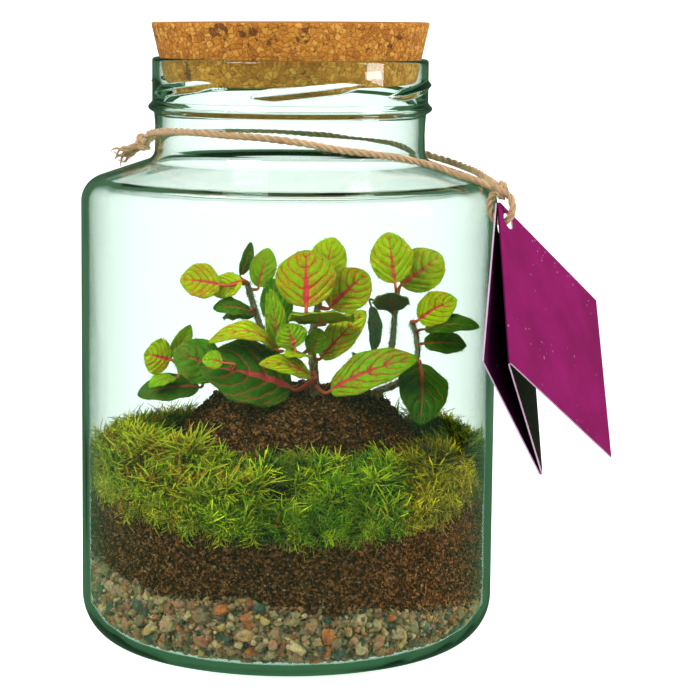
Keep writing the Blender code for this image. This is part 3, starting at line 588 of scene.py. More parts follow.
def laid_twine(route, fray=0.0, sides=8):
    """Three plies wound round the route: each ply's middle turns about it once in PLY_LAY, and each ply is
    a tube closed at both ends. Towards a frayed end the plies part and thin. Gives points, triangles and
    where each point would lie if the twine were straight."""
    tangent, side, other = carried_frames(route)
    along = np.concatenate([[0], np.cumsum(np.linalg.norm(np.diff(route, axis=0), axis=1))])
    part = np.clip(1 - (along[-1] - along) / 0.006, 0, 1) * fray
    points, triangles, straight = [], [], []
    round_ply = np.arange(sides) * 2 * math.pi / sides
    for ply in range(3):
        turn = along * 2 * math.pi / PLY_LAY + ply * 2 * math.pi / 3
        away = (np.cos(turn)[:, None] * side + np.sin(turn)[:, None] * other)
        middle = route + away * (PLY_OFFSET * (1 + 2.2 * part))[:, None]
        swell = PLY_RADIUS * (1 + 0.07 * np.sin(along * 900 + ply * 2)) * (1 - 0.72 * part)
        swell[[0, -1]] *= 0.35
        ring = ring_round(round_ply, side, other)
        tube = middle[:, None] + ring * swell[:, None, None]
        first = sum(len(p) for p in points)
        count = len(route) * sides
        points.append(np.concatenate([tube.reshape(-1, 3), middle[[0, -1]]]))
        quads = grid_faces(len(route), sides, wrap_columns=True)
        j = np.arange(sides)
        after, last = (j + 1) % sides, count - sides
        caps = [np.stack([np.full(sides, count), after, j], axis=1),
                np.stack([np.full(sides, count + 1), last + j, last + after], axis=1)]
        triangles.append(np.concatenate([quads[:, [0, 1, 2]], quads[:, [0, 2, 3]]] + caps) + first)
        spin = round_ply[None, :] - turn[:, None]
        far = np.broadcast_to(along[:, None] * 1000, spin.shape)
        laid = np.stack([np.cos(spin) + 5 * ply, np.sin(spin), far], axis=-1)
        straight.append(np.concatenate([laid.reshape(-1, 3), laid[[0, -1], 0]]))
    points, triangles = np.concatenate(points), np.concatenate(triangles)
    return points, outward(points, triangles), np.concatenate(straight)


def joined(parts):
    """Several (points, triangles, values) as one."""
    starts = np.cumsum([0] + [len(p[0]) for p in parts[:-1]])
    return (np.concatenate([p[0] for p in parts]), np.concatenate([p[1] + s for p, s in zip(parts, starts)]),
            np.concatenate([p[2] for p in parts]))


def mark(piece, name, values):
    """Stores one number or one vector for each point of a piece, for its material to read."""
    values = np.asarray(values, np.float32)
    kind = "FLOAT" if values.ndim == 1 else "FLOAT_VECTOR"
    store = piece.data.attributes.new(name, kind, "POINT")
    store.data.foreach_set("value" if values.ndim == 1 else "vector", values.ravel())


def knot_route(centre, size, turn):
    """A trefoil knot round a centre: (2 + cos 3t) cos 2t, (2 + cos 3t) sin 2t, 1.25 sin 3t."""
    t = np.linspace(0.12, 2 * math.pi - 0.12, 110)
    reach = 2 + np.cos(3 * t)
    shape = np.stack([reach * np.cos(2 * t), reach * np.sin(2 * t), 1.25 * np.sin(3 * t)], axis=1)
    turned = np.array(Matrix.Rotation(turn[0], 3, "X") @ Matrix.Rotation(turn[1], 3, "Y")).T
    return np.asarray(centre) / 1000 + (shape * size) @ turned


def loose_fibres(route, count, seed, length=(0.0015, 0.0055), foot=0.001, radius=0.00006):
    """Thin three-sided hairs that leave a route at random places, foot away from it, and curl outwards."""
    chance = np.random.default_rng(seed)
    tangent, side, other = carried_frames(route)
    at = chance.integers(0, len(route), count)
    a = chance.uniform(0, 2 * math.pi, count)[:, None]
    out = np.cos(a) * side[at] + np.sin(a) * other[at]
    along_share = chance.uniform(-1.4, 1.4, count)[:, None]
    ahead = unit(tangent[at] * along_share + out * chance.uniform(0.35, 1.1, count)[:, None])
    curl = unit(chance.normal(size=(count, 3)))
    reach = chance.uniform(*length, count)[:, None, None]
    t = np.linspace(0, 1, 6)[None, :, None]
    middle = (route[at] + out * foot)[:, None] + reach * (ahead[:, None] * t + 0.45 * curl[:, None] * t**2)
    ring = np.arange(3) * 2 * math.pi / 3
    offset = (np.cos(ring)[:, None] * side[at][:, None] + np.sin(ring)[:, None] * other[at][:, None])
    points = middle[:, :, None] + offset[:, None] * (radius * (1.1 - t[..., None]))
    quads = grid_faces(6, 3, wrap_columns=True)
    one = np.concatenate([quads[:, [0, 1, 2]], quads[:, [0, 2, 3]], [[0, 2, 1], [15, 16, 17]]])
    triangles = (one[None] + 18 * np.arange(count)[:, None, None]).reshape(-1, 3)
    straight = np.broadcast_to(middle[:, :, None] * 1000, points.shape).reshape(-1, 3)
    return points.reshape(-1, 3), triangles, straight


jute = Finish("jute_twine", Roughness=0.9, Specular_IOR_Level=0.2, Sheen_Weight=0.25, Sheen_Roughness=0.6)
laid = jute.node("Attribute", {"attribute_name": "straight"}, {}, "Vector")
strands = jute.noise(jute.stretch(laid, (1.0, 1.0, 0.16)), 2.6, 4.0, 0.7)
patches = jute.noise(laid, 0.09, 2.0)
jute_tone = jute.ramp(strands * 0.75 + patches * 0.35, [
    (0.30, (0.21, 0.105, 0.040)), (0.48, (0.42, 0.25, 0.115)), (0.62, (0.60, 0.39, 0.20)),
    (0.80, (0.76, 0.56, 0.33))])
jute.feed("Base Color", jute_tone)
jute.relief(strands, 0.0004, 0.9)

hole_middle = (np.array(TAG_CORNER) / 1000 + TAG_HOLE_FROM_EDGE * (
    unit(np.array(TAG_DOWN)) + unit(np.array(TAG_FRONT_PANEL) - unit(np.array(TAG_DOWN)) * (
        np.array(TAG_FRONT_PANEL) @ unit(np.array(TAG_DOWN))))))


LOOP_OFF_AXIS = 1.4
LOOP_HALF_WIDTH = 4.9


def hitch_loop():
    """The loop from the hitch down through the tag's hole and back, as corners in millimetres: half an
    ellipse in the plane that holds the hole's axis."""
    down = unit(np.array(TAG_DOWN))
    across = np.array(TAG_FRONT_PANEL)
    across = unit(across - down * (across @ down))
    out = np.cross(down, across)
    knot = np.array(TAG_KNOT)
    reach = knot - hole_middle * 1000
    up = unit(reach)
    sideways = unit(out - up * (out @ up))
    centre = (knot + hole_middle * 1000) / 2 - sideways * LOOP_OFF_AXIS
    turns = np.radians([28, 60, 90, 120, 150, 180, 210, 240, 270, 300, 332])
    half = np.linalg.norm(reach) / 2
    return [tuple(centre + up * half * math.cos(a) + sideways * LOOP_HALF_WIDTH * math.sin(a)) for a in turns]


loop_corners = hitch_loop()
ends_at_knot = [(-58.2, -3.2, 201.6)], [(-58.4, 1.6, 201.2)]
twine_corners = [
    *ends_at_knot[0], *FRONT_STRAND, TAG_KNOT, *loop_corners, TAG_KNOT, *BACK_STRAND[::-1], *ends_at_knot[1]]
twine_route = smooth_route(twine_corners, 0.0005)
points, triangles, straight = laid_twine(twine_route)
twine = placed("twine", points, triangles, jute.material)
mark(twine, "straight", straight)
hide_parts("twine_front", "twine_back")
points, triangles, straight = loose_fibres(twine_route, 420, 5)
fuzz = placed("twine_fibres", points, triangles, jute.material)
mark(fuzz, "straight", straight)

tails = [smooth_route(corners, 0.0004) for corners in TAILS]
knot = knot_route(NECK_KNOT, 0.00085, (1.1, 0.5))
parts = [laid_twine(knot), laid_twine(tails[0], 1.0), laid_twine(tails[1], 1.0), loose_fibres(knot, 40, 6)]
parts += [loose_fibres(tail[len(tail) // 2:], 60, 7 + k, (0.002, 0.006)) for k, tail in enumerate(tails)]
points, triangles, straight = joined(parts)
neck_knot = placed("twine_knot", points, triangles, jute.material)
mark(neck_knot, "straight", straight)
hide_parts("twine_neck_knot")

knot = knot_route(TAG_KNOT, 0.00088, (0.4, 1.2))
points, triangles, straight = joined([laid_twine(knot), loose_fibres(knot, 60, 9)])
hitch = placed("tag_hitch", points, triangles, jute.material)
mark(hitch, "straight", straight)
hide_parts("twine_tag_hitch")


# ---- the tag ----
# A square of coated card folded twice like a Z, hung from one corner. Its outside is magenta, its
# inside near black, and its cut edges show the pale card. On the middle and back panels the magenta
# is painted dark purple: painted shade, because those panels lie in shadow.


def fold_arc(fold, arriving, leaving, radius=0.0005, count=9):
    """Points round a fold, where arriving and leaving are unit vectors from the fold along its panels."""
    away = -unit(arriving + leaving)
    across = unit(leaving - arriving)
    a = np.linspace(-math.pi / 2, math.pi / 2, count)[:, None]
    return fold - away * radius + radius * (away * np.cos(a) + across * np.sin(a))


def tag_sheet(rows=15):
    """The sheet's middle surface: at each height down the folds, its section runs from the back panel's
    edge round both folds to the front panel's edge."""
    corner = np.array(TAG_CORNER) / 1000
    down = unit(np.array(TAG_DOWN))
    across = np.array(TAG_FRONT_PANEL)
    across = unit(across - down * (across @ down))
    far = corner + unit(np.array(TAG_MIDDLE_PANEL)) * TAG_SIDE
    grid = []
    for t in np.linspace(0, 1, rows):
        start = corner + (np.array(TAG_BACK_EDGE) + np.array(TAG_BACK_SPLAY) * t) / 1000
        to_start, to_near = unit(start - far), unit(corner - far)
        first, second = fold_arc(far, to_start, to_near), fold_arc(corner, -to_near, across)
        free = corner + across * TAG_SIDE
        section = np.concatenate([
            [start], line(start, first[0], 9), first, line(first[-1], second[0], 9), second,
            line(second[-1], free, 9), [free]])
        grid.append(section + down * (TAG_SIDE * t))
    return np.array(grid), down, across


def thickened(grid, thickness):
    """A closed sheet: both faces, half a thickness to each side, and the cut edges. Gives points, quads
    and for each quad 1 on the first face, 0 on the second and 0.5 on an edge."""
    normal = unit(np.cross(np.gradient(grid, axis=1), np.gradient(grid, axis=0)))
    rows, columns = grid.shape[:2]
    half = normal * thickness / 2
    points = np.concatenate([(grid + half).reshape(-1, 3), (grid - half).reshape(-1, 3)])
    front = grid_faces(rows, columns)
    back = front[:, ::-1] + rows * columns
    number = np.arange(rows * columns).reshape(rows, columns)
    loop = np.concatenate([number[0, :-1], number[:-1, -1], number[-1, :0:-1], number[:0:-1, 0]])
    after = np.roll(loop, -1)
    edge = np.stack([after, loop, loop + rows * columns, after + rows * columns], axis=1)
    sides = np.concatenate([np.ones(len(front)), np.zeros(len(back)), np.full(len(edge), 0.5)])
    return points, np.concatenate([front, back, edge]), sides


sheet, fold_line, panel_line = tag_sheet()
points, quads, sides = thickened(sheet, TAG_THICKNESS)
card = Finish("printed_card", Roughness=0.55, Specular_IOR_Level=0.08)
fleck = card.noise(card.place(), 260.0, 3.0)
cloudy = card.noise(card.place(), 45.0, 3.0)
dust = card.cells(card.place(), 330.0).step(0.16, 0.10) * card.noise(card.place(), 55.0, 1.0).step(0.52, 0.62)
# The card's colour for each face: print, pale cut edges, and painted shade on the middle and back panels.
ink = card.node("Attribute", {"attribute_name": "ink"}, {}, "Color")
ink = card.blend(cloudy.step(0.25, 0.75) * 0.35, ink, ink, "MULTIPLY")
card.feed("Base Color", card.blend(dust * 0.35, ink, (0.75, 0.45, 0.65)))
card.relief(fleck, 0.00005, 0.5)
tag = placed("tag", points, quads, card.material, smooth=False)
columns_a_row = sheet.shape[1] - 1
column = np.arange(len(quads)) % columns_a_row
inks_and_shade = np.where(sides[:, None] == 0.5, (0.62, 0.42, 0.55), (0.030, 0.012, 0.006))
on_front_panel = column >= columns_a_row - 14
inks_and_shade[(sides == 0) & on_front_panel] = (0.245, 0.004, 0.105)
# Painted shade: the magenta outside of the middle and back panels is darkened to a dark purple.
inks_and_shade[(sides == 0) & ~on_front_panel] = (0.060, 0.004, 0.040)
store = tag.data.attributes.new("ink", "FLOAT_COLOR", "FACE")
colours = np.concatenate([inks_and_shade, np.ones((len(inks_and_shade), 1))], axis=1)
store.data.foreach_set("color", colours.astype(np.float32).ravel())
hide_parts("folded_tag")

a = np.arange(32) * 2 * math.pi / 32
out_of_tag = np.cross(fold_line, panel_line)
ring = hole_middle + TAG_HOLE_RADIUS * (np.cos(a)[:, None] * fold_line + np.sin(a)[:, None] * panel_line)
back, front = -out_of_tag * 0.014, out_of_tag * 0.010
points = np.concatenate([ring + back, ring + front, [hole_middle + back, hole_middle + front]])
j = np.arange(32)
k = (j + 1) % 32
triangles = np.concatenate([
    np.stack([j, k, k + 32], 1), np.stack([j, k + 32, j + 32], 1),
    np.stack([k, j, np.full(32, 64)], 1), np.stack([j + 32, k + 32, np.full(32, 65)], 1)])
punch = placed("punch", points, outward(points, triangles), card.material)
cut = tag.modifiers.new("punched_hole", "BOOLEAN")
cut.operation, cut.solver, cut.object = "DIFFERENCE", "EXACT", punch
punched = bpy.data.meshes.new_from_object(tag.evaluated_get(bpy.context.evaluated_depsgraph_get()))
tag.modifiers.clear()
tag.data = punched
bpy.data.objects.remove(punch)
tag.data.set_sharp_from_angle(angle=math.radians(35))


# ---- the gravel ----
# Washed mixed gravel at the bottom of the jar, for drainage: pebbles of 4 to 11 mm among fine grit,
# beige, pink, orange and grey-green. It lies against the glass and is banked up on the left.

FILL_RADIUS = BODY_RADIUS - WALL - 0.0006


def scattered(cells, seed):
    """One random number from 0 to 1 for each whole-numbered cell, from its coordinates and a seed."""
    mixed = np.sin(cells @ np.array([127.1, 311.7, 74.7]) + seed * 13.13) * 43758.5453
    return mixed - np.floor(mixed)


def lumpy(places, size, seed):
    """Smooth noise from -1 to 1: random numbers at the corners of cells of this size, blended between."""
    spot = places / size
    cell = np.floor(spot)
    t = spot - cell
    t = t * t * (3 - 2 * t)
    total = np.zeros(places.shape[:-1])
    for corner in np.ndindex(2, 2, 2):
        weight = np.prod(np.where(corner, t, 1 - t), axis=-1)
        total += weight * scattered(cell + corner, seed)
    return 2 * total - 1


def over(x, y):
    """Places (x, y, 0) for noise over the ground."""
    return np.stack([x, y, 0 * x], axis=-1)


def gravel_top(x, y):
    """The gravel's top is banked up on the left."""
    return 0.0300 - 0.085 * x + 0.0030 * lumpy(over(x, y), 0.016, 3)


def soil_top(x, y):
    """The soil slopes a little at the glass and climbs to the root ball in the middle."""
    wall = 0.0600 - 0.045 * x + 0.05 * y
    away = (np.hypot((x - 0.004) / 1.3, y) - 0.045) / (FILL_RADIUS - 0.045)
    reach = np.clip(away, 0, 1)
    rise = 0.0165 * (1 - reach * reach * (3 - 2 * reach))
    return wall * (0.5 + 0.5 * reach) + 0.0600 * 0.5 * (1 - reach) + rise


def wall_place(angle, up, depth):
    """A place by the glass: an angle round the axis, a length up the inner wall from where the heel's
    bend starts at the floor, and a depth in from the glass."""
    bend = math.pi / 2 * INNER_HEEL
    turn = np.clip(up / INNER_HEEL, 0, math.pi / 2)
    rest = np.maximum(up - bend, 0)
    size = INNER_HEEL - 0.0006 - depth
    r = FILL_RADIUS - INNER_HEEL + 0.0006 + size * np.sin(turn)
    z = FLOOR_Z + INNER_HEEL - size * np.cos(turn) + rest
    return np.stack([r * np.sin(angle), -r * np.cos(angle), z], axis=-1)


def ball_mesh(detail):
    """Points and triangles of a sphere of radius 1, made of 20, 80 or 320 triangles."""
    mesh = bpy.data.meshes.new("ball")
    work = bmesh.new()
    bmesh.ops.create_icosphere(work, subdivisions=detail, radius=1.0)
    work.to_mesh(mesh)
    work.free()
    points = np.array([v.co for v in mesh.vertices])
    triangles = np.array([p.vertices for p in mesh.polygons])
    bpy.data.meshes.remove(mesh)
    return points, triangles


def random_turns(count, chance):
    """Random rotation matrices, from random unit quaternions."""
    w, x, y, z = unit(chance.normal(size=(count, 4))).T
    rows = ((1 - 2 * (y * y + z * z), 2 * (x * y - w * z), 2 * (x * z + w * y)),
            (2 * (x * y + w * z), 1 - 2 * (x * x + z * z), 2 * (y * z - w * x)),
            (2 * (x * z - w * y), 2 * (y * z + w * x), 1 - 2 * (x * x + y * y)))
    return np.array(rows).transpose(2, 0, 1)


def stones(centres, radii, detail, chance, flatness=0.72, rough=0.30):
    """A stone at each centre: a sphere made lumpy by noise, cut by nine random planes, squeezed along its
    own axes and turned at random. Gives points and triangles."""
    ball, triangles = ball_mesh(detail)
    count = len(centres)
    squeeze = np.stack([chance.uniform(0.95, 1.30, count), chance.uniform(0.80, 1.05, count),
                        chance.uniform(flatness - 0.12, flatness + 0.12, count)], axis=1)
    seeds = chance.uniform(0, 90, (count, 1, 3))
    bumps = 1 + rough * lumpy(ball[None] + seeds, 0.75, 1)
    bumps = bumps + 0.5 * rough * lumpy(ball[None] * 2.2 + seeds, 0.75, 2)
    shapes = ball[None] * bumps[..., None]
    for _ in range(9):
        face, height = unit(chance.normal(size=(count, 1, 3))), chance.uniform(0.60, 0.92, (count, 1))
        beyond = np.maximum((shapes * face).sum(axis=-1) - height, 0)
        shapes = shapes - beyond[..., None] * face
    shapes = shapes * squeeze[:, None] * radii[:, None, None] * 1.10
    shapes = np.einsum("nij,nkj->nki", random_turns(count, chance), shapes) + centres[:, None]
    starts = len(ball) * np.arange(count)[:, None, None]
    return shapes.reshape(-1, 3), (triangles[None] + starts).reshape(-1, 3)


def inside_glass(points):
    """Points pulled back so that none is nearer than 0.5 mm to the glass."""
    r = np.hypot(points[:, 0], points[:, 1])
    centre = FILL_RADIUS - INNER_HEEL + 0.0006
    limit = np.full(len(points), FILL_RADIUS + 0.0001)
    low = points[:, 2] < FLOOR_Z + INNER_HEEL
    drop = np.clip(FLOOR_Z + INNER_HEEL - points[:, 2], 0, INNER_HEEL - 0.0006)
    limit[low] = (centre + np.sqrt(np.maximum((INNER_HEEL - 0.0005) ** 2 - drop**2, 0)))[low]
    scale = np.minimum(1, limit / np.maximum(r, 1e-6))
    height = np.maximum(points[:, 2], FLOOR_Z + 0.0007)
    return np.column_stack([points[:, 0] * scale, points[:, 1] * scale, height])


def settled(angle, up, radii, spacing):
    """Which of the candidates stay: the first ones, in order, that keep this share of their radii apart."""
    flat = np.stack([angle * FILL_RADIUS, up], axis=1)
    kept = []
    for i in range(len(flat)):
        if kept:
            off = flat[i] - flat[kept]
            off[:, 0] = np.abs(off[:, 0])
            off[:, 0] = np.minimum(off[:, 0], 2 * math.pi * FILL_RADIUS - off[:, 0])
            if (np.hypot(off[:, 0], off[:, 1]) < spacing * (radii[i] + radii[kept])).any():
                continue
        kept.append(i)
    return np.array(kept)


def top_of(surface, angle):
    """How far up the wall a bed's surface meets the glass."""
    x, y = FILL_RADIUS * np.sin(angle), -FILL_RADIUS * np.cos(angle)
    return surface(x, y) - FLOOR_Z - INNER_HEEL + math.pi / 2 * INNER_HEEL


STONE_TONES = np.array([
    (0.62, 0.50, 0.36), (0.55, 0.42, 0.30), (0.70, 0.58, 0.46), (0.58, 0.36, 0.28), (0.66, 0.44, 0.36),
    (0.55, 0.25, 0.14), (0.45, 0.35, 0.27), (0.33, 0.31, 0.26), (0.22, 0.24, 0.20), (0.40, 0.38, 0.33),
    (0.72, 0.63, 0.52), (0.50, 0.40, 0.34), (0.48, 0.29, 0.22), (0.63, 0.52, 0.44), (0.86, 0.34, 0.17),
    (0.78, 0.40, 0.34), (0.84, 0.68, 0.38), (0.17, 0.27, 0.28), (0.12, 0.20, 0.22), (0.90, 0.78, 0.66),
]) * (0.56, 0.41, 0.26)


def tinted(piece, tones, share):
    """Gives each point of a piece made of like shapes the colour of its shape."""
    colours = np.repeat(np.column_stack([tones, np.ones(len(tones))]), share, axis=0)
    store = piece.data.attributes.new("tone", "FLOAT_COLOR", "POINT")
    store.data.foreach_set("color", colours.astype(np.float32).ravel())


gravel = Finish("mixed_gravel", Roughness=0.82, Specular_IOR_Level=0.3)
spot = gravel.place()
tone = gravel.node("Attribute", {"attribute_name": "tone"}, {}, "Color")
veins = gravel.noise(spot, 520.0, 4.0, 0.65)
crystals = gravel.cells(spot, 1300.0, out="Color")
shade = gravel.ramp(veins, [(0.28, (0.22, 0.20, 0.18)), (0.5, (1, 1, 1)), (0.72, (1.25, 1.05, 0.85))])
tone = gravel.blend(0.85, tone, shade, "MULTIPLY")
tone = gravel.blend(0.40, tone, crystals, "SOFT_LIGHT")
gravel.feed("Base Color", tone)
gravel.relief(veins + gravel.noise(spot, 2200.0, 2.0) * 0.5, 0.0004, 0.7)

chance = np.random.default_rng(11)
sizes = np.concatenate([chance.uniform(0.0038, 0.0054, 130), chance.uniform(0.0016, 0.0034, 1500)])
angle = chance.uniform(-math.pi, math.pi, len(sizes))
ceiling = top_of(gravel_top, angle)
up = chance.uniform(0.10, 1.0, len(sizes)) ** 0.8 * (ceiling - sizes) + 0.001
keep = settled(angle, up, sizes, 0.78)
keep = keep[up[keep] > 0.006]
centres = wall_place(angle[keep], up[keep], sizes[keep] * 0.80)
points, triangles = stones(centres, sizes[keep], 2, chance)
pebbles = placed("pebbles", inside_glass(points), triangles, gravel.material, smooth=False)
tones = STONE_TONES[chance.integers(0, len(STONE_TONES), len(keep))]
tinted(pebbles, tones * chance.uniform(0.75, 1.1, (len(keep), 1)), 42)

count = 6500
sizes = chance.uniform(0.0007, 0.0017, count)
angle = chance.uniform(-math.pi, math.pi, count)
up = chance.uniform(0, 1, count) ** 0.85 * (top_of(gravel_top, angle) + 0.001)
centres = wall_place(angle, up, sizes * 0.8 + chance.uniform(0.0, 0.0022, count))
points, triangles = stones(centres, sizes, 1, chance, rough=0.35)
grit = placed("grit", inside_glass(points), triangles, gravel.material, smooth=False)
tones = STONE_TONES[chance.integers(0, len(STONE_TONES), count)] * chance.uniform(0.55, 1.15, (count, 1))
tinted(grit, tones, 12)


def filling(lower, upper, depth, bite, seed, around=300, wall_rows=46, top_rows=26):
    """The body of a bed: its underside, a wall just inside the glass that noise bites into, and its top.
    lower and upper give heights over x and y."""
    a = np.arange(around)[None, :] * 2 * math.pi / around
    x, y = FILL_RADIUS * np.sin(a), -FILL_RADIUS * np.cos(a)
    t = np.linspace(0, 1, wall_rows)[:, None]
    z = lower(x, y) * (1 - t) + upper(x, y) * t
    low = np.clip(FLOOR_Z + INNER_HEEL - z, 0, INNER_HEEL - 0.0007)
    r = FILL_RADIUS - INNER_HEEL + 0.0006 + np.sqrt((INNER_HEEL - 0.0006) ** 2 - low**2)
    wall = np.stack([np.sin(a) * r, -np.cos(a) * r, z], axis=-1)
    bites = 0.6 * lumpy(wall, 0.0030, seed) + 0.4 * lumpy(wall, 0.0013, seed + 1)
    r = r - depth - bite * (0.5 - 0.5 * bites)
    wall = np.stack([np.sin(a) * r, -np.cos(a) * r, z], axis=-1)
    rings = []
    for edge, surface, sizes in ((wall[0], lower, np.linspace(0.01, 1, top_rows)[:-1]),
                                 (wall[-1], upper, np.linspace(1, 0.01, top_rows)[1:])):
        x, y = edge[None, :, 0] * sizes[:, None], edge[None, :, 1] * sizes[:, None]
        rings.append(np.stack([x, y, surface(x, y)], axis=-1))
    points, triangles = close_poles(np.concatenate([rings[0], wall, rings[1]]))
    return points, outward(points, triangles)


def floor_under(x, y):
    """The floor, and the bend of the heel at its edge."""
    r = np.hypot(x, y)
    centre = FILL_RADIUS - INNER_HEEL + 0.0006
    bend = np.clip(r - centre, 0, INNER_HEEL - 0.0007)
    return FLOOR_Z + INNER_HEEL - np.sqrt((INNER_HEEL - 0.0007) ** 2 - bend**2) + 0.0006


sand = Finish("gravel_grit", Roughness=0.95, Specular_IOR_Level=0.15)
spot = sand.place()
grains = sand.cells(spot, 780.0, out="Color")
mixed = sand.axes(grains)
sand_tone = sand.ramp(mixed[0], [
    (0.0, (0.035, 0.020, 0.010)), (0.4, (0.11, 0.066, 0.034)), (0.7, (0.21, 0.135, 0.075)),
    (1.0, (0.36, 0.25, 0.15))])
sand.feed("Base Color", sand_tone)
sand.relief(sand.cells(spot, 780.0), 0.0006, 0.9)
points, triangles = filling(floor_under, lambda x, y: gravel_top(x, y) - 0.0006, 0.0011, 0.0010, 20)
bed = placed("gravel_bed_core", points, triangles, sand.material)
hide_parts("gravel_bed")


# ---- the soil ----
# Dark potting soil over the gravel, pressed against the glass, made of crumbs of bark and peat with a
# few pale grains. It reaches lower on the right, and climbs towards the plant in the middle.

soil = Finish("potting_soil", Roughness=0.95, Specular_IOR_Level=0.12)
spot = soil.place()
crumbs = soil.axes(soil.cells(spot, 1150.0, out="Color"))
fine = soil.noise(spot, 2600.0, 3.0, 0.7)
soil_tone = soil.ramp(crumbs[0] * 0.7 + fine * 0.35, [
    (0.15, (0.010, 0.003, 0.001)), (0.42, (0.044, 0.012, 0.003)), (0.66, (0.135, 0.038, 0.009)),
    (0.92, (0.34, 0.13, 0.044))])
x, _, z = soil.axes(spot)
redder = x.step(0.0, 0.07) * 0.6
soil_tone = soil.blend(redder, soil_tone, soil.blend(1.0, soil_tone, (1.6, 1.0, 0.6), "MULTIPLY"))
soil_tone = soil.blend(crumbs[1].step(0.970, 0.985) * 0.7, soil_tone, (0.36, 0.25, 0.14))
dusty = soil.noise(soil.stretch(spot, (1.0, 1.0, 0.6)), 42.0, 3.0).step(0.52, 0.75)
dusty = dusty * x.step(0.0, -0.05) * z.step(0.056, 0.040)
soil_tone = soil.blend(dusty * crumbs[2].step(0.3, 0.7) * 0.75, soil_tone, (0.17, 0.17, 0.085))
soil.feed("Base Color", soil_tone)
soil.relief(soil.cells(spot, 1150.0) * 1.3 + fine * 0.6, 0.0008, 1.0)

points, triangles = filling(
    lambda x, y: gravel_top(x, y) + 0.0002, soil_top, 0.0002, 0.0016, 30, around=420, wall_rows=70)
bed = placed("soil_bed_body", points, triangles, soil.material)
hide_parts("soil_bed")

count = 9000
sizes = chance.uniform(0.0003, 0.0007, count)
angle = chance.uniform(-math.pi, math.pi, count)
low, high = top_of(gravel_top, angle), top_of(soil_top, angle)
up = low + (high - low) * chance.uniform(-0.03, 1.0, count)
centres = wall_place(angle, up, sizes * 0.7 + chance.uniform(0.0, 0.0007, count))
points, triangles = stones(centres, sizes, 1, chance, rough=0.4)
crumbs_at_wall = placed("soil_crumbs", inside_glass(points), triangles, soil.material, smooth=False)


# ---- the root ball ----
# The clod of soil that the plant came in, moulded into a mound round its roots.

BALL_X = 0.004
BALL_STRETCH = 1.3
BALL_TOP_Z = 0.101


def ball_top(x, y):
    """A mound with a lumpy level top that falls smoothly to the soil."""
    reach = np.clip((np.hypot((x - BALL_X) / BALL_STRETCH, y) - 0.022) / 0.023, 0, 1)
    fall = reach * reach * (3 - 2 * reach)
    edge = soil_top(x, y) + 0.001
    places = over(x, y)
    rough = 0.0014 * lumpy(places, 0.007, 41) + 0.0008 * lumpy(places, 0.0028, 42)
    rough = rough + 0.0004 * lumpy(places, 0.0013, 43)
    level = BALL_TOP_Z - 0.0008 + (edge - BALL_TOP_Z) * fall + rough
    return level + 0.005 * fall * (1 - fall) * lumpy(places, 0.012, 44)


sizes = np.concatenate([np.linspace(0.001, 0.047, 70), [0.047]])[:, None]
a = np.arange(260)[None, :] * 2 * math.pi / 260
x, y = BALL_X + BALL_STRETCH * sizes * np.sin(a), -sizes * np.cos(a)
z = ball_top(x, y)
z[-1] = soil_top(x[-1], y[-1]) - 0.004
mound = np.stack([x, y, z], axis=-1)
under = mound[-1:].copy()
under[..., :2] *= 0.05
points, triangles = close_poles(np.concatenate([mound, under]))
ball_body = placed("root_ball_body", points, outward(points, triangles), soil.material)
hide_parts("root_ball")

count = 3600
r, a = 0.047 * np.sqrt(chance.uniform(0, 1, count)), chance.uniform(0, 2 * math.pi, count)
x, y = BALL_X + BALL_STRETCH * r * np.sin(a), -r * np.cos(a)
sizes = chance.uniform(0.0004, 0.0013, count)
centres = np.stack([x, y, ball_top(x, y) + sizes * 0.2], axis=1)
points, triangles = stones(centres, sizes, 1, chance, rough=0.4)
ball_crumbs = placed("root_ball_crumbs", points, triangles, soil.material, smooth=False)


# ---- the moss ----
# Cushions of living moss pressed on the soil all the way round: leafy shoots like small grass tufts,
# mostly green, yellow at the tips, with one gold tuft at the right. A near-black bed under the shoots
# is painted shade. Each blade darkens towards its foot, partly because of its darker stem and partly as
# painted shade deep in the cushion.

MOSS_INNER = 0.0464
MOSS_CUSHIONS = (
    ("moss_front_left", -86, -33, 0.0120), ("moss_front", -31, 4, 0.0110),
    ("moss_front_right", 6, 34, 0.0125), ("moss_gold_tuft", 36, 66, 0.0135),
    ("moss_back_right", 68, 138, 0.0110), ("moss_back", 140, 212, 0.0100),
    ("moss_back_left", 214, 272, 0.0105),
)

moss = Finish("living_moss", Roughness=0.7, Specular_IOR_Level=0.2)
tone = moss.node("Attribute", {"attribute_name": "tone"}, {}, "Color")
streak = moss.noise(moss.place(), 700.0, 2.0)
shade = moss.ramp(streak, [(0.3, (0.5, 0.5, 0.5)), (0.7, (1.0, 1.0, 1.0))])
moss.feed("Base Color", moss.blend(0.5, tone, shade, "MULTIPLY"))


def moss_place(start, end, depth, s, t):
    """A place on a cushion: s from the root ball's side to the glass, t from its first to its last angle.
    It is domed, lower at its edges."""
    angle = np.radians(start + t * (end - start))
    inner_x = BALL_X + BALL_STRETCH * MOSS_INNER * np.sin(angle)
    inner = np.stack([inner_x, -MOSS_INNER * np.cos(angle)], axis=-1)
    outer = np.stack([FILL_RADIUS * np.sin(angle), -FILL_RADIUS * np.cos(angle)], axis=-1)
    flat = inner + s[..., None] * (outer - inner)
    x, y = flat[..., 0], flat[..., 1]
    edge = np.clip(0.25 + 5 * np.minimum(np.minimum(t, 1 - t), s + 0.05), 0, 1)
    height = depth * edge * (0.80 + 0.30 * lumpy(over(x, y), 0.011, start))
    return x, y, soil_top(x, y), height


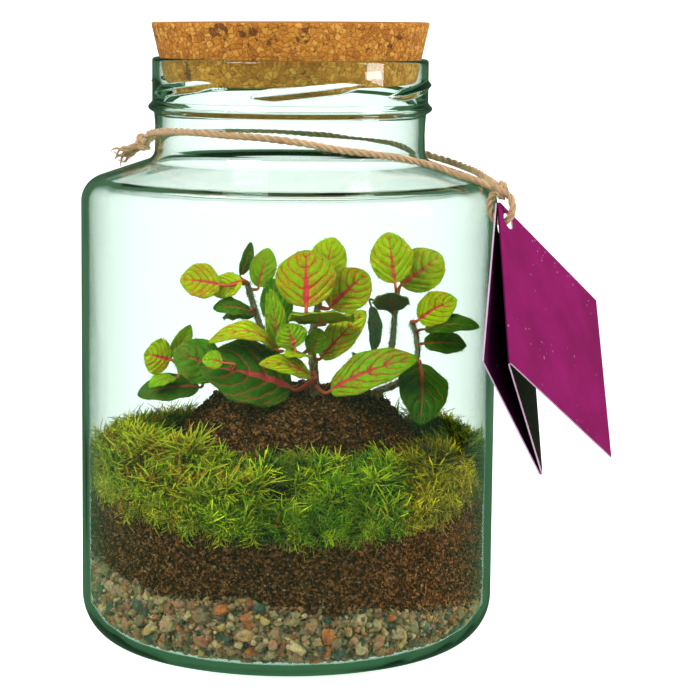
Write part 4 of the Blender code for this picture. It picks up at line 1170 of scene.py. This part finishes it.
def tuft_blades(count, chance, blades=17, joints=3):
    """One leafy shoot repeated with its own random blades: each blade is a ribbon folded along its
    middle, that leaves the stem, arches outwards and ends in a point. Lengths are shares of 1."""
    a = (np.arange(blades) * 2.4)[None, :, None] + chance.uniform(0, 6.28, (count, 1, 1))
    a = a + chance.uniform(-0.4, 0.4, (count, blades, 1))
    start = np.linspace(0.10, 0.62, blades)[None, :, None] * chance.uniform(0.8, 1.1, (count, blades, 1))
    length = chance.uniform(0.45, 0.80, (count, blades, 1))
    lean = chance.uniform(0.50, 1.25, (count, blades, 1))
    t = np.linspace(0, 1, joints)[None, None, :]
    out = length * lean * (t + 0.35 * t**2)
    rise = start + length * (t - 0.42 * lean * t**2)
    middle = np.stack([out * np.cos(a), out * np.sin(a), rise], axis=-1)
    across = np.stack([-np.sin(a) + 0 * t, np.cos(a) + 0 * t, 0 * t + 0 * a], axis=-1)
    half = 0.052 * (1 - 0.85 * t)[..., None]
    left, right = middle + across * half, middle - across * half
    left[..., 2] += 0.02
    right[..., 2] += 0.02
    points = np.stack([left, middle, right], axis=3)
    return points, np.broadcast_to(t, points.shape[:3])


def shoots(feet, up, heights, chance, tips, shaded_bases):
    """A shoot at each foot, standing along up. Gives points, quads and a colour for each point."""
    count = len(feet)
    points, t = tuft_blades(count, chance)
    blades, joints = points.shape[1:3]
    side = unit(np.cross(up, chance.normal(size=(count, 3))))
    frames = np.stack([side, np.cross(up, side), up], axis=-1)
    points = points * heights[:, None, None, None, None]
    world = np.einsum("nij,nbtkj->nbtki", frames, points) + feet[:, None, None, None]
    one = grid_faces(joints, 3)
    strips = one[None] + 3 * joints * np.arange(count * blades)[:, None, None]
    share = t[..., None, None]
    # Each blade darkens from its tip to its foot, partly because of the moss's darker stems and partly as
    # painted shade deep in the cushion.
    colours = shaded_bases[:, None, None, None] * (1 - share) + tips[:, None, None, None] * share
    colours = np.broadcast_to(colours, world.shape)
    return world.reshape(-1, 3), strips.reshape(-1, 4), colours.reshape(-1, 3)


GREENS = np.array([
    (0.26, 0.40, 0.003), (0.10, 0.26, 0.003), (0.42, 0.50, 0.004), (0.66, 0.62, 0.006), (0.30, 0.44, 0.004)])
GOLDS = np.array([(1.0, 0.62, 0.008), (0.95, 0.58, 0.006), (1.0, 0.70, 0.01), (0.80, 0.60, 0.008)])
BED_ROWS, BED_COLUMNS = 26, 40
for name, start, end, depth in MOSS_CUSHIONS:
    s, t = np.meshgrid(np.linspace(0, 1, BED_ROWS), np.linspace(0, 1, BED_COLUMNS), indexing="ij")
    x, y, ground, height = moss_place(start, end, depth, s, t)
    crown = np.stack([x, y, ground + 0.35 * height], axis=-1)
    under = np.stack([x, y, ground - 0.0008], axis=-1)
    bed_points = np.concatenate([crown.reshape(-1, 3), under.reshape(-1, 3)])
    r = np.hypot(bed_points[:, 0], bed_points[:, 1])
    bed_points[:, :2] *= np.minimum(1, (FILL_RADIUS - 0.0030) / r)[:, None]
    below = BED_ROWS * BED_COLUMNS
    grid = np.arange(below).reshape(BED_ROWS, BED_COLUMNS)
    loop = np.concatenate([grid[0, :-1], grid[:-1, -1], grid[-1, :0:-1], grid[:0:-1, 0]])
    after = np.roll(loop, -1)
    top = grid_faces(BED_ROWS, BED_COLUMNS)
    rim = np.stack([after, loop, loop + below, after + below], axis=1)
    quads = np.concatenate([top, top[:, ::-1] + below, rim])
    triangles = outward(bed_points, np.concatenate([quads[:, [0, 1, 2]], quads[:, [0, 2, 3]]]))
    cushion = placed(name + "_bed", bed_points, triangles, moss.material)
    gold = "gold" in name
    # Painted shade: the bed under the shoots is near black, for the shade between them.
    dark = (0.030, 0.028, 0.008) if gold else (0.012, 0.022, 0.005)
    tinted(cushion, np.full((len(bed_points), 3), dark), 1)
    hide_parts(name)

    count = int(15.0 * (end - start))
    s, t = chance.uniform(0, 1, count) ** 0.8, chance.uniform(0, 1, count)
    x, y, ground, height = moss_place(start, end, depth, s, t)
    clump = lumpy(over(x, y), 0.009, 70)
    feet = np.stack([x, y, ground + 0.25 * height], axis=1)
    radial = np.stack([x, y, 0 * x], axis=1) / FILL_RADIUS
    at_wall = np.clip((np.hypot(x, y) - 0.070) / 0.009, 0, 1)[:, None]
    lean = 0.45 * lumpy(np.stack([x, y, x * 0], axis=1), 0.008, 71)[:, None] * np.array([1.0, 0.3, 0.0])
    up_way = np.array([0.0, 0.0, 1.0]) + radial * (0.75 - 1.3 * at_wall) + lean
    up_way = unit(up_way + 0.36 * chance.normal(size=(count, 3)))
    heights = chance.uniform(0.0048, 0.0112, count) * (1 + 0.35 * clump)
    hanging = np.arange(count) < int(4.5 * (end - start))
    rim = np.radians(start + t * (end - start))
    rim_x, rim_y = (FILL_RADIUS - 0.0012) * np.sin(rim), -(FILL_RADIUS - 0.0012) * np.cos(rim)
    rim_z = soil_top(rim_x, rim_y) + chance.uniform(0.0002, 0.0050, count)
    feet = np.where(hanging[:, None], np.stack([rim_x, rim_y, rim_z], axis=1), feet)
    sideways = np.stack([-rim_y, rim_x, 0 * rim_x], axis=1) / FILL_RADIUS
    fall = sideways * chance.normal(0, 1.0, (count, 1))
    fall = unit(fall + np.array([0.0, 0.0, 1.0]) * chance.uniform(-0.9, 0.7, (count, 1)))
    up_way = np.where(hanging[:, None], fall, up_way)
    heights = np.where(hanging, 0.62 * heights, heights)
    palette = GOLDS if gold else GREENS
    shade = 0.86 + 0.95 * lumpy(over(x, y), 0.0046, 72) + 0.35 * lumpy(over(x, y), 0.016, 73)
    tips = palette[chance.integers(0, len(palette), count)]
    tips = tips * (chance.uniform(0.7, 1.25, count) * np.clip(shade, 0.10, 1.9))[:, None]
    if not gold:
        dry = np.clip((-x - 0.012) / 0.05, 0, 1) * np.clip(1.25 - s, 0, 1)
        yellow = (chance.uniform(0, 1, count) < 0.55 * (clump > 0.30) + 0.5 * dry)[:, None]
        tips = np.where(yellow, (0.60, 0.52, 0.012), tips)
        rusty = (chance.uniform(0, 1, count) < 0.025 + 0.16 * dry)[:, None]
        tips = np.where(rusty, (0.52, 0.17, 0.012), tips)
    tips = tips * (1.25 if gold else 1.1)
    # Painted shade in part: the blades' feet get 7 per cent of the tip colour, for the darker stems and for
    # the shade deep in the cushion.
    points, quads, colours = shoots(feet, up_way, heights, chance, tips, tips * 0.07)
    r = np.hypot(points[:, 0], points[:, 1])
    points[:, :2] *= np.minimum(1, (FILL_RADIUS + 0.0002) / r)[:, None]
    tuft = placed(name + "_shoots", points, quads, moss.material)
    tinted(tuft, colours, 1)


# ---- the plant ----
# A red-veined nerve plant of five stems. Young leaves are lime with a fine red network, older ones dark
# green with a red midrib. Each leaf is an oval blade, quilted between its veins, on a short stalk.

STEMS = (
    ("stem_main", 2.0, 1.3, (
        (11, -7, 101.6), (10, -8, 112), (9, -7, 122), (11, -4, 132), (12, -1, 139))),
    ("stem_left", 1.6, 1.1, (
        (0, -3, 101.6), (-5, -2, 112), (-11, 0, 126), (-15, 1, 138), (-17, 1, 145))),
    ("stem_left_low", 1.4, 0.9, (
        (-12, -9, 103), (-20, -9, 106.5), (-30, -8, 109), (-39, -7, 111), (-44.5, -7, 112.5))),
    ("stem_right", 1.6, 1.1, (
        (31, 5, 102.6), (38, 6, 109), (42, 6, 118), (43, 6, 130), (44, 5, 139))),
    ("stem_right_low", 1.5, 1.0, (
        (35, -6, 101.6), (46, -3, 106), (52, -1, 115), (52, 0, 123), (50, 1, 130))),
)
LEAVES = (
    ("leaf_left_1", (-28, -7, 145), (-43.5, -10, 147.5), 15, (0, -0.85, 0.5), 1.0, 0.10, "lime", 1),
    ("leaf_left_2", (-19, -2.5, 146), (-31, -1, 141), 11, (0, -0.8, 0.6), 1.0, 0.10, "lime", 0.9),
    ("leaf_left_3", (-19.5, 3, 148), (-15.5, 5, 161), 5.5, (0.6, -0.8, 0), 0.5, 0.15, "dark", 0.2),
    ("leaf_left_4", (-12.5, 4, 143), (-9, 7, 158.5), 10.5, (0.1, -1, 0.1), 0.8, 0.12, "fresh", 0.45),
    ("leaf_left_5", (-16.5, -4, 134), (-30, -9, 135.5), 10, (0, -0.6, 0.8), 1.5, 0.10, "dark", 0.35),
    ("leaf_left_6", (-14, 4, 131), (-27, 10, 130), 11, (-0.1, -0.4, 0.9), 1.5, 0.10, "dark", 0.3),
    ("leaf_left_7", (-27, -17, 111), (-45.5, -19, 120), 18, (-0.15, -0.85, 0.45), 1.5, 0.10, "green", 0.35),
    ("leaf_left_8", (-26, -32.5, 117), (-33.5, -33.5, 118.5), 8, (0, -0.8, 0.6), 0.8, 0.15, "fresh", 1),
    ("leaf_left_9", (-47.5, -11, 115), (-57.5, -13, 118), 14.5, (-0.1, -0.95, 0.2), 0.8, 0.10, "lime", 1),
    ("leaf_left_10", (-47, -5.5, 115.5), (-39.5, -4, 128), 7, (0.4, -0.9, 0.1), 0.6, 0.15, "fresh", 0.4),
    ("leaf_left_11", (-45.5, -14, 108), (-55, -20, 105.5), 8, (0, -0.45, 0.9), 1.0, 0.12, "fresh", 0.4),
    ("leaf_left_12", (-36, -10, 104), (-60, -15, 101), 13, (0, -0.7, 0.7), 2.0, 0.10, "dark", 0.3),
    ("leaf_mid_1", (7, -14, 137), (6, -4, 159), 24, (0, -0.9, 0.4), 1.5, 0.10, "lime", 1),
    ("leaf_mid_2", (13.5, 4, 146), (18, 8, 163), 15, (0.1, -0.95, 0.2), 1.0, 0.10, "lime", 0.55),
    ("leaf_mid_3", (16.5, -5, 136), (32, 3, 149), 18, (0.15, -0.85, 0.5), 1.5, 0.10, "lime", 1),
    ("leaf_mid_4", (14, -10, 130), (11, -30, 137.5), 26, (0, 0.35, 0.94), -1.0, 0.06, "lime", 0.5),
    ("leaf_mid_5", (13, -9.5, 116), (31, -9, 134.5), 13, (-0.35, -0.9, 0.3), 1.2, 0.12, "lime", 1),
    ("leaf_mid_6", (-4.5, -14, 120), (-7, -13, 144), 8.5, (0.3, -0.95, 0.1), 1.0, 0.15, "fresh", 0.6),
    ("leaf_mid_7", (-3.5, -4, 127), (-7.5, -2, 147), 13, (0.2, -0.95, 0.2), 1.0, 0.10, "green", 0.25),
    ("leaf_mid_8", (-5.5, -17, 120), (-31, -25, 124), 10.5, (-0.1, -0.6, 0.8), 8.0, 0.12, "lime", 0.95),
    ("leaf_mid_9", (2.5, -23, 122), (-1, -22, 131), 12.5, (0, -0.9, 0.35), 0.6, 0.12, "fresh", 0.8),
    ("leaf_mid_10", (9, -17, 119), (12.5, -16, 128.5), 9, (0.3, -0.95, 0.2), 0.5, 0.12, "fresh", 0.3),
    ("leaf_mid_11", (7.5, -19, 118), (-1, -29, 119.5), 9.5, (0, -0.3, 0.95), 0.8, 0.10, "lime", 0.25),
    ("leaf_mid_12", (8.5, -20, 110), (-11, -31, 117.5), 9.5, (0.15, -0.7, 0.7), 2.5, 0.15, "lime", 1),
    ("leaf_mid_13", (1, -18, 105), (-34.5, -26, 116), 29, (-0.1, -0.75, 0.62), 2.5, 0.10, "dark", 0.5),
    ("leaf_mid_14", (17, -18, 104), (50, -28, 119), 17.5, (-0.1, -0.75, 0.65), 3.0, 0.12, "fresh", 0.95),
    ("leaf_right_1", (42.5, -5, 146), (39, -1, 166), 17.5, (0.1, -0.95, 0.3), 1.2, 0.10, "lime", 0.6),
    ("leaf_right_2", (46, 4.5, 144), (62, 10, 156.5), 18, (0.2, -0.9, 0.35), 1.5, 0.10, "lime", 0.5),
    ("leaf_right_3", (42, 0.5, 134), (40.5, -11, 143), 14.5, (0, 0.65, 0.75), -0.8, 0.08, "grey", 0.2),
    ("leaf_right_4", (52.5, -4, 131), (67, -6, 140), 14, (-0.1, -0.85, 0.5), 1.0, 0.12, "lime", 0.9),
    ("leaf_right_5", (55, -7, 127.5), (76, -13, 129.5), 10, (0, -0.6, 0.8), 2.0, 0.12, "dark", 0.2),
    ("leaf_right_6", (55, -2, 121), (73, 3, 119.5), 11, (0, -0.75, 0.65), 1.5, 0.10, "dark", 0.2),
    ("leaf_right_7", (34, 15, 134), (35, 14, 115), 7.5, (0.7, -0.7, 0), 1.0, 0.15, "grey", 0.1),
    ("leaf_right_8", (53, -6.5, 113.5), (52, -32, 93.5), 20, (0.25, -0.75, 0.6), 2.5, 0.10, "dark", 0.25),
    ("leaf_back_1", (11, 1.5, 128), (6, 28, 127), 19, (0, 0.1, 1), 3.0, 0.10, "fresh", 0.7),
    ("leaf_back_2", (-8, 4.5, 114), (-27, 26, 113), 17, (-0.1, 0.2, 1), 3.0, 0.10, "dark", 0.5),
    ("leaf_back_3", (37, 10.5, 109), (33, 37, 107), 18, (0.1, 0.2, 1), 3.0, 0.10, "dark", 0.5),
)
LEAF_THICKNESS = 0.0005
VEINS_ALONG = 5.3
VEIN_LEAN = 0.46
VEIN_START = 0.47
VEIN_ARCH = 1.55
LEAF_TONES = {
    "lime": ((0.330, 0.450, 0.002), (0.66, 0.026, 0.010)),
    "fresh": ((0.190, 0.370, 0.003), (0.50, 0.032, 0.018)),
    "green": ((0.062, 0.220, 0.004), (0.50, 0.040, 0.035)),
    "dark": ((0.030, 0.130, 0.003), (0.55, 0.035, 0.045)),
    "grey": ((0.070, 0.120, 0.050), (0.15, 0.09, 0.06)),
}


def leaf_grid(foot, tip, width, facing, arch, cup, seed, rows=46, columns=27):
    """A blade's middle surface: its half width follows a skewed sine, its midrib arches, and its height
    over the midrib's plane adds the cup, a bulge between each two side veins, a groove and a wavy edge."""
    foot, tip = np.array(foot) / 1000, np.array(tip) / 1000
    length = np.linalg.norm(tip - foot)
    along = (tip - foot) / length
    face = np.array(facing, float)
    face = unit(face - along * (face @ along))
    side = np.cross(along, face)
    t, v = np.meshgrid(np.linspace(0, 1, rows), np.linspace(-1, 1, columns), indexing="ij")
    off = np.abs(v)
    spread = 0.04 + 0.98 * np.maximum(np.sin(math.pi * t**0.92), 0) ** (0.50 + 0.16 * t)
    half = width / 2000 * spread
    vein = VEINS_ALONG * (t - VEIN_LEAN * off**VEIN_ARCH + VEIN_START)
    bulge = 0.050 * np.sin(math.pi * vein) ** 2 * (1 - off**6) - 0.06 * np.exp(-((v / 0.09) ** 2))
    ripple = 0.085 * off**3 * np.sin(2 * math.pi * (2.6 * t + seed + 0.3 * np.sign(v)))
    height = 4 * arch / 1000 * t * (1 - t) + half * (cup * v * v + bulge + ripple) - 0.04 * length * t**4
    sway = 0.035 * length * math.sin(40 * seed) * t * t
    grid = foot + t[..., None] * length * along + (half * v + sway)[..., None] * side
    grid = grid + height[..., None] * face
    return grid, t, v, along, length


def tube(route, radii, sides=10):
    """A round tube closed at both ends, with a radius at each point of its route."""
    _, side, other = carried_frames(route)
    ring = ring_round(np.arange(sides) * 2 * math.pi / sides, side, other)
    grid = route[:, None] + ring * radii[:, None, None]
    points, triangles = close_poles(grid)
    return points, outward(points, triangles)


def leaf_finish(name, roughness, network):
    """The blade's colours: its own tone, side veins that leave the midrib and arch towards the tip, with a
    rusty halo, a midrib that narrows towards the tip, and between them a fine network of the given weight."""
    leaf = Finish(name, Roughness=roughness, Specular_IOR_Level=0.10)
    spot = leaf.place()
    blade = leaf.node("Attribute", {"attribute_name": "blade"}, {}, "Vector")
    t, v, seed = leaf.axes(blade)
    tone = leaf.node("Attribute", {"attribute_name": "tone"}, {}, "Vector")
    nerve = leaf.node("Attribute", {"attribute_name": "nerve"}, {}, "Vector")
    weight = leaf.node("Attribute", {"attribute_name": "weight"}, {}, "Fac")
    off = abs(v)
    wander = leaf.noise(spot, 300.0, 2.0) - 0.5
    phase = (t - off**VEIN_ARCH * VEIN_LEAN + VEIN_START) * VEINS_ALONG + wander * 0.75
    near = abs(phase.math("FRACT", phase) - 0.5)
    side_vein = near.step(0.385, 0.450) * off.step(1.0, 0.88) * (1.15 - t * 0.35)
    halo = near.step(0.22, 0.46)
    rib_edge = off - ((1 - t).maximum(0.0) ** 1.8) * 0.16 + wander * 0.06
    midrib = rib_edge.step(0.045, 0.0)
    mesh_of_veins = leaf.cells(spot, 640.0, feature="DISTANCE_TO_EDGE").step(0.15, 0.05)
    patchy = leaf.noise(spot, 190.0, 2.0).step(0.40, 0.62)
    mottle = leaf.noise(spot, 480.0, 4.0, 0.6)
    shade = leaf.ramp(mottle, [(0.3, (0.72, 0.80, 0.80)), (0.5, (1, 1, 1)), (0.75, (1.22, 1.12, 1.0))])
    colour = leaf.blend(1.0, tone, shade, "MULTIPLY")
    colour = leaf.blend(halo * weight * 0.28, colour, (0.34, 0.115, 0.010))
    colour = leaf.blend(mesh_of_veins * patchy * weight * network, colour, nerve)
    colour = leaf.blend((side_vein * weight * 0.92).minimum(1.0), colour, nerve)
    pink = leaf.blend(0.60, nerve, (0.80, 0.050, 0.085))
    colour = leaf.blend((midrib * weight.math("POWER", weight, 0.4)).minimum(1.0), colour, pink)
    leaf.feed("Base Color", colour)
    height = 1 - side_vein * 0.8 - midrib * 0.6 - mesh_of_veins * 0.35 + mottle * 0.25
    leaf.relief(height, 0.0004, 0.9)
    return leaf


young_leaf = leaf_finish("young_leaf", 0.50, 0.62)
older_leaf = leaf_finish("older_leaf", 0.38, 0.25)
OLDER_LEAVES = (
    "leaf_left_5", "leaf_left_6", "leaf_left_12", "leaf_mid_7", "leaf_mid_13", "leaf_right_3", "leaf_right_5",
    "leaf_right_6", "leaf_right_7", "leaf_right_8", "leaf_back_2", "leaf_back_3",
)
stem_routes = [smooth_route(places, 0.0006) for _, _, _, places in STEMS]
stem_places = np.concatenate(stem_routes)
fringe = []
for number, (name, foot, tip, width, facing, arch, cup, tone, weight) in enumerate(LEAVES):
    seed = 0.137 * number + 0.11
    grid, t, v, along, length = leaf_grid(foot, tip, width, facing, arch, cup, seed)
    points, quads, _ = thickened(grid, LEAF_THICKNESS)
    flesh, nerve = (np.array(c) for c in LEAF_TONES[tone])
    flesh = flesh * (1 + 0.16 * math.sin(31 * seed))
    count = len(points) // 2
    values = np.zeros((len(points), 10))
    values[:, 0:2] = np.tile(np.stack([t.ravel(), v.ravel()], axis=1), (2, 1))
    values[:, 2] = seed
    values[:count, 3:6] = flesh
    values[count:, 3:6] = flesh * 0.75 + (0.130, 0.075, 0.010)
    values[:count, 9] = weight
    values[count:, 9] = 0.25 * weight
    margin = np.concatenate([grid[2:, 0], grid[:1:-1, -1]])
    fringe.append(loose_fibres(margin, int(20 + 4 * width), 300 + number, (0.0006, 0.0015), 0.0002, 0.00012))
    foot = np.array(foot) / 1000
    gaps = np.linalg.norm(stem_places - foot, axis=1)
    nearest, gap = stem_places[gaps.argmin()], gaps.min()
    stalk = np.array([foot + along * 0.05 * length, foot - along * 0.22 * gap, nearest])
    stalk = smooth_route(1000 * stalk, 0.0007)
    stalk_points, stalk_triangles = tube(stalk, np.linspace(0.00045, 0.0009, len(stalk)) * (0.6 + width / 30))
    stalk_values = np.tile([0.0, 0.0, seed, *(flesh * 0.7), 0, 0, 0, weight * 0.55], (len(stalk_points), 1))
    blade = (points, np.concatenate([quads[:, [0, 1, 2]], quads[:, [0, 2, 3]]]), values)
    points, triangles, values = joined([blade, (stalk_points, stalk_triangles, stalk_values)])
    older = name in OLDER_LEAVES
    finish = older_leaf if older else young_leaf
    leaf = placed(name.replace("leaf_", "") + "_leaf", points, triangles, finish.material)
    mark(leaf, "blade", values[:, 0:3])
    mark(leaf, "tone", values[:, 3:6])
    mark(leaf, "nerve", np.tile(nerve, (len(points), 1)))
    mark(leaf, "weight", values[:, 9])
    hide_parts(name)

bark = Finish("stem_bark", Roughness=0.75, Specular_IOR_Level=0.25)
spot = bark.place()
ridges = bark.noise(bark.stretch(spot, (1.0, 1.0, 0.35)), 900.0, 4.0, 0.65)
bark_tone = bark.ramp(ridges, [
    (0.30, (0.085, 0.036, 0.018)), (0.50, (0.22, 0.11, 0.055)), (0.68, (0.42, 0.29, 0.16))])
greener = bark.axes(spot)[2].step(0.106, 0.124)
bark_tone = bark.blend(greener * 0.65, bark_tone, (0.150, 0.165, 0.070))
bark.feed("Base Color", bark_tone)
bark.relief(ridges, 0.0004, 0.8)
hair = Finish("stem_hair", Roughness=0.7, Specular_IOR_Level=0.3, Base_Color=(0.42, 0.45, 0.34, 1.0))
for number, ((name, foot_radius, tip_radius, _), route) in enumerate(zip(STEMS, stem_routes)):
    share = np.linspace(0, 1, len(route))
    knees = 1 + 0.22 * np.maximum(0, np.cos(2 * math.pi * (3.2 * share + 0.1 * number))) ** 12
    radii = (foot_radius + (tip_radius - foot_radius) * share) / 1000 * knees
    root = route[:1] + np.linspace(-0.0045, -0.0005, 5)[:, None] * (0.0, 0.0, 1.0)
    whole = np.concatenate([root, route])
    points, triangles = tube(whole, np.concatenate([radii[0] * np.linspace(1.35, 1.05, 5), radii]), 14)
    points = points + 0.00012 * lumpy(points, 0.0011, 80)[:, None]
    stem = placed(name + "_bark", points, triangles, bark.material)
    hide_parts(name)
    points, triangles, _ = loose_fibres(route, 520, 50 + number, (0.0008, 0.0018), 0.0013, 0.00015)
    down = placed(name + "_hairs", points, triangles, hair.material)

leaf_hair = Finish("leaf_hair", Roughness=0.6, Specular_IOR_Level=0.2, Base_Color=(0.19, 0.30, 0.05, 1.0))
points, triangles, _ = joined(fringe)
margins = placed("leaf_margin_hairs", points, triangles, leaf_hair.material)
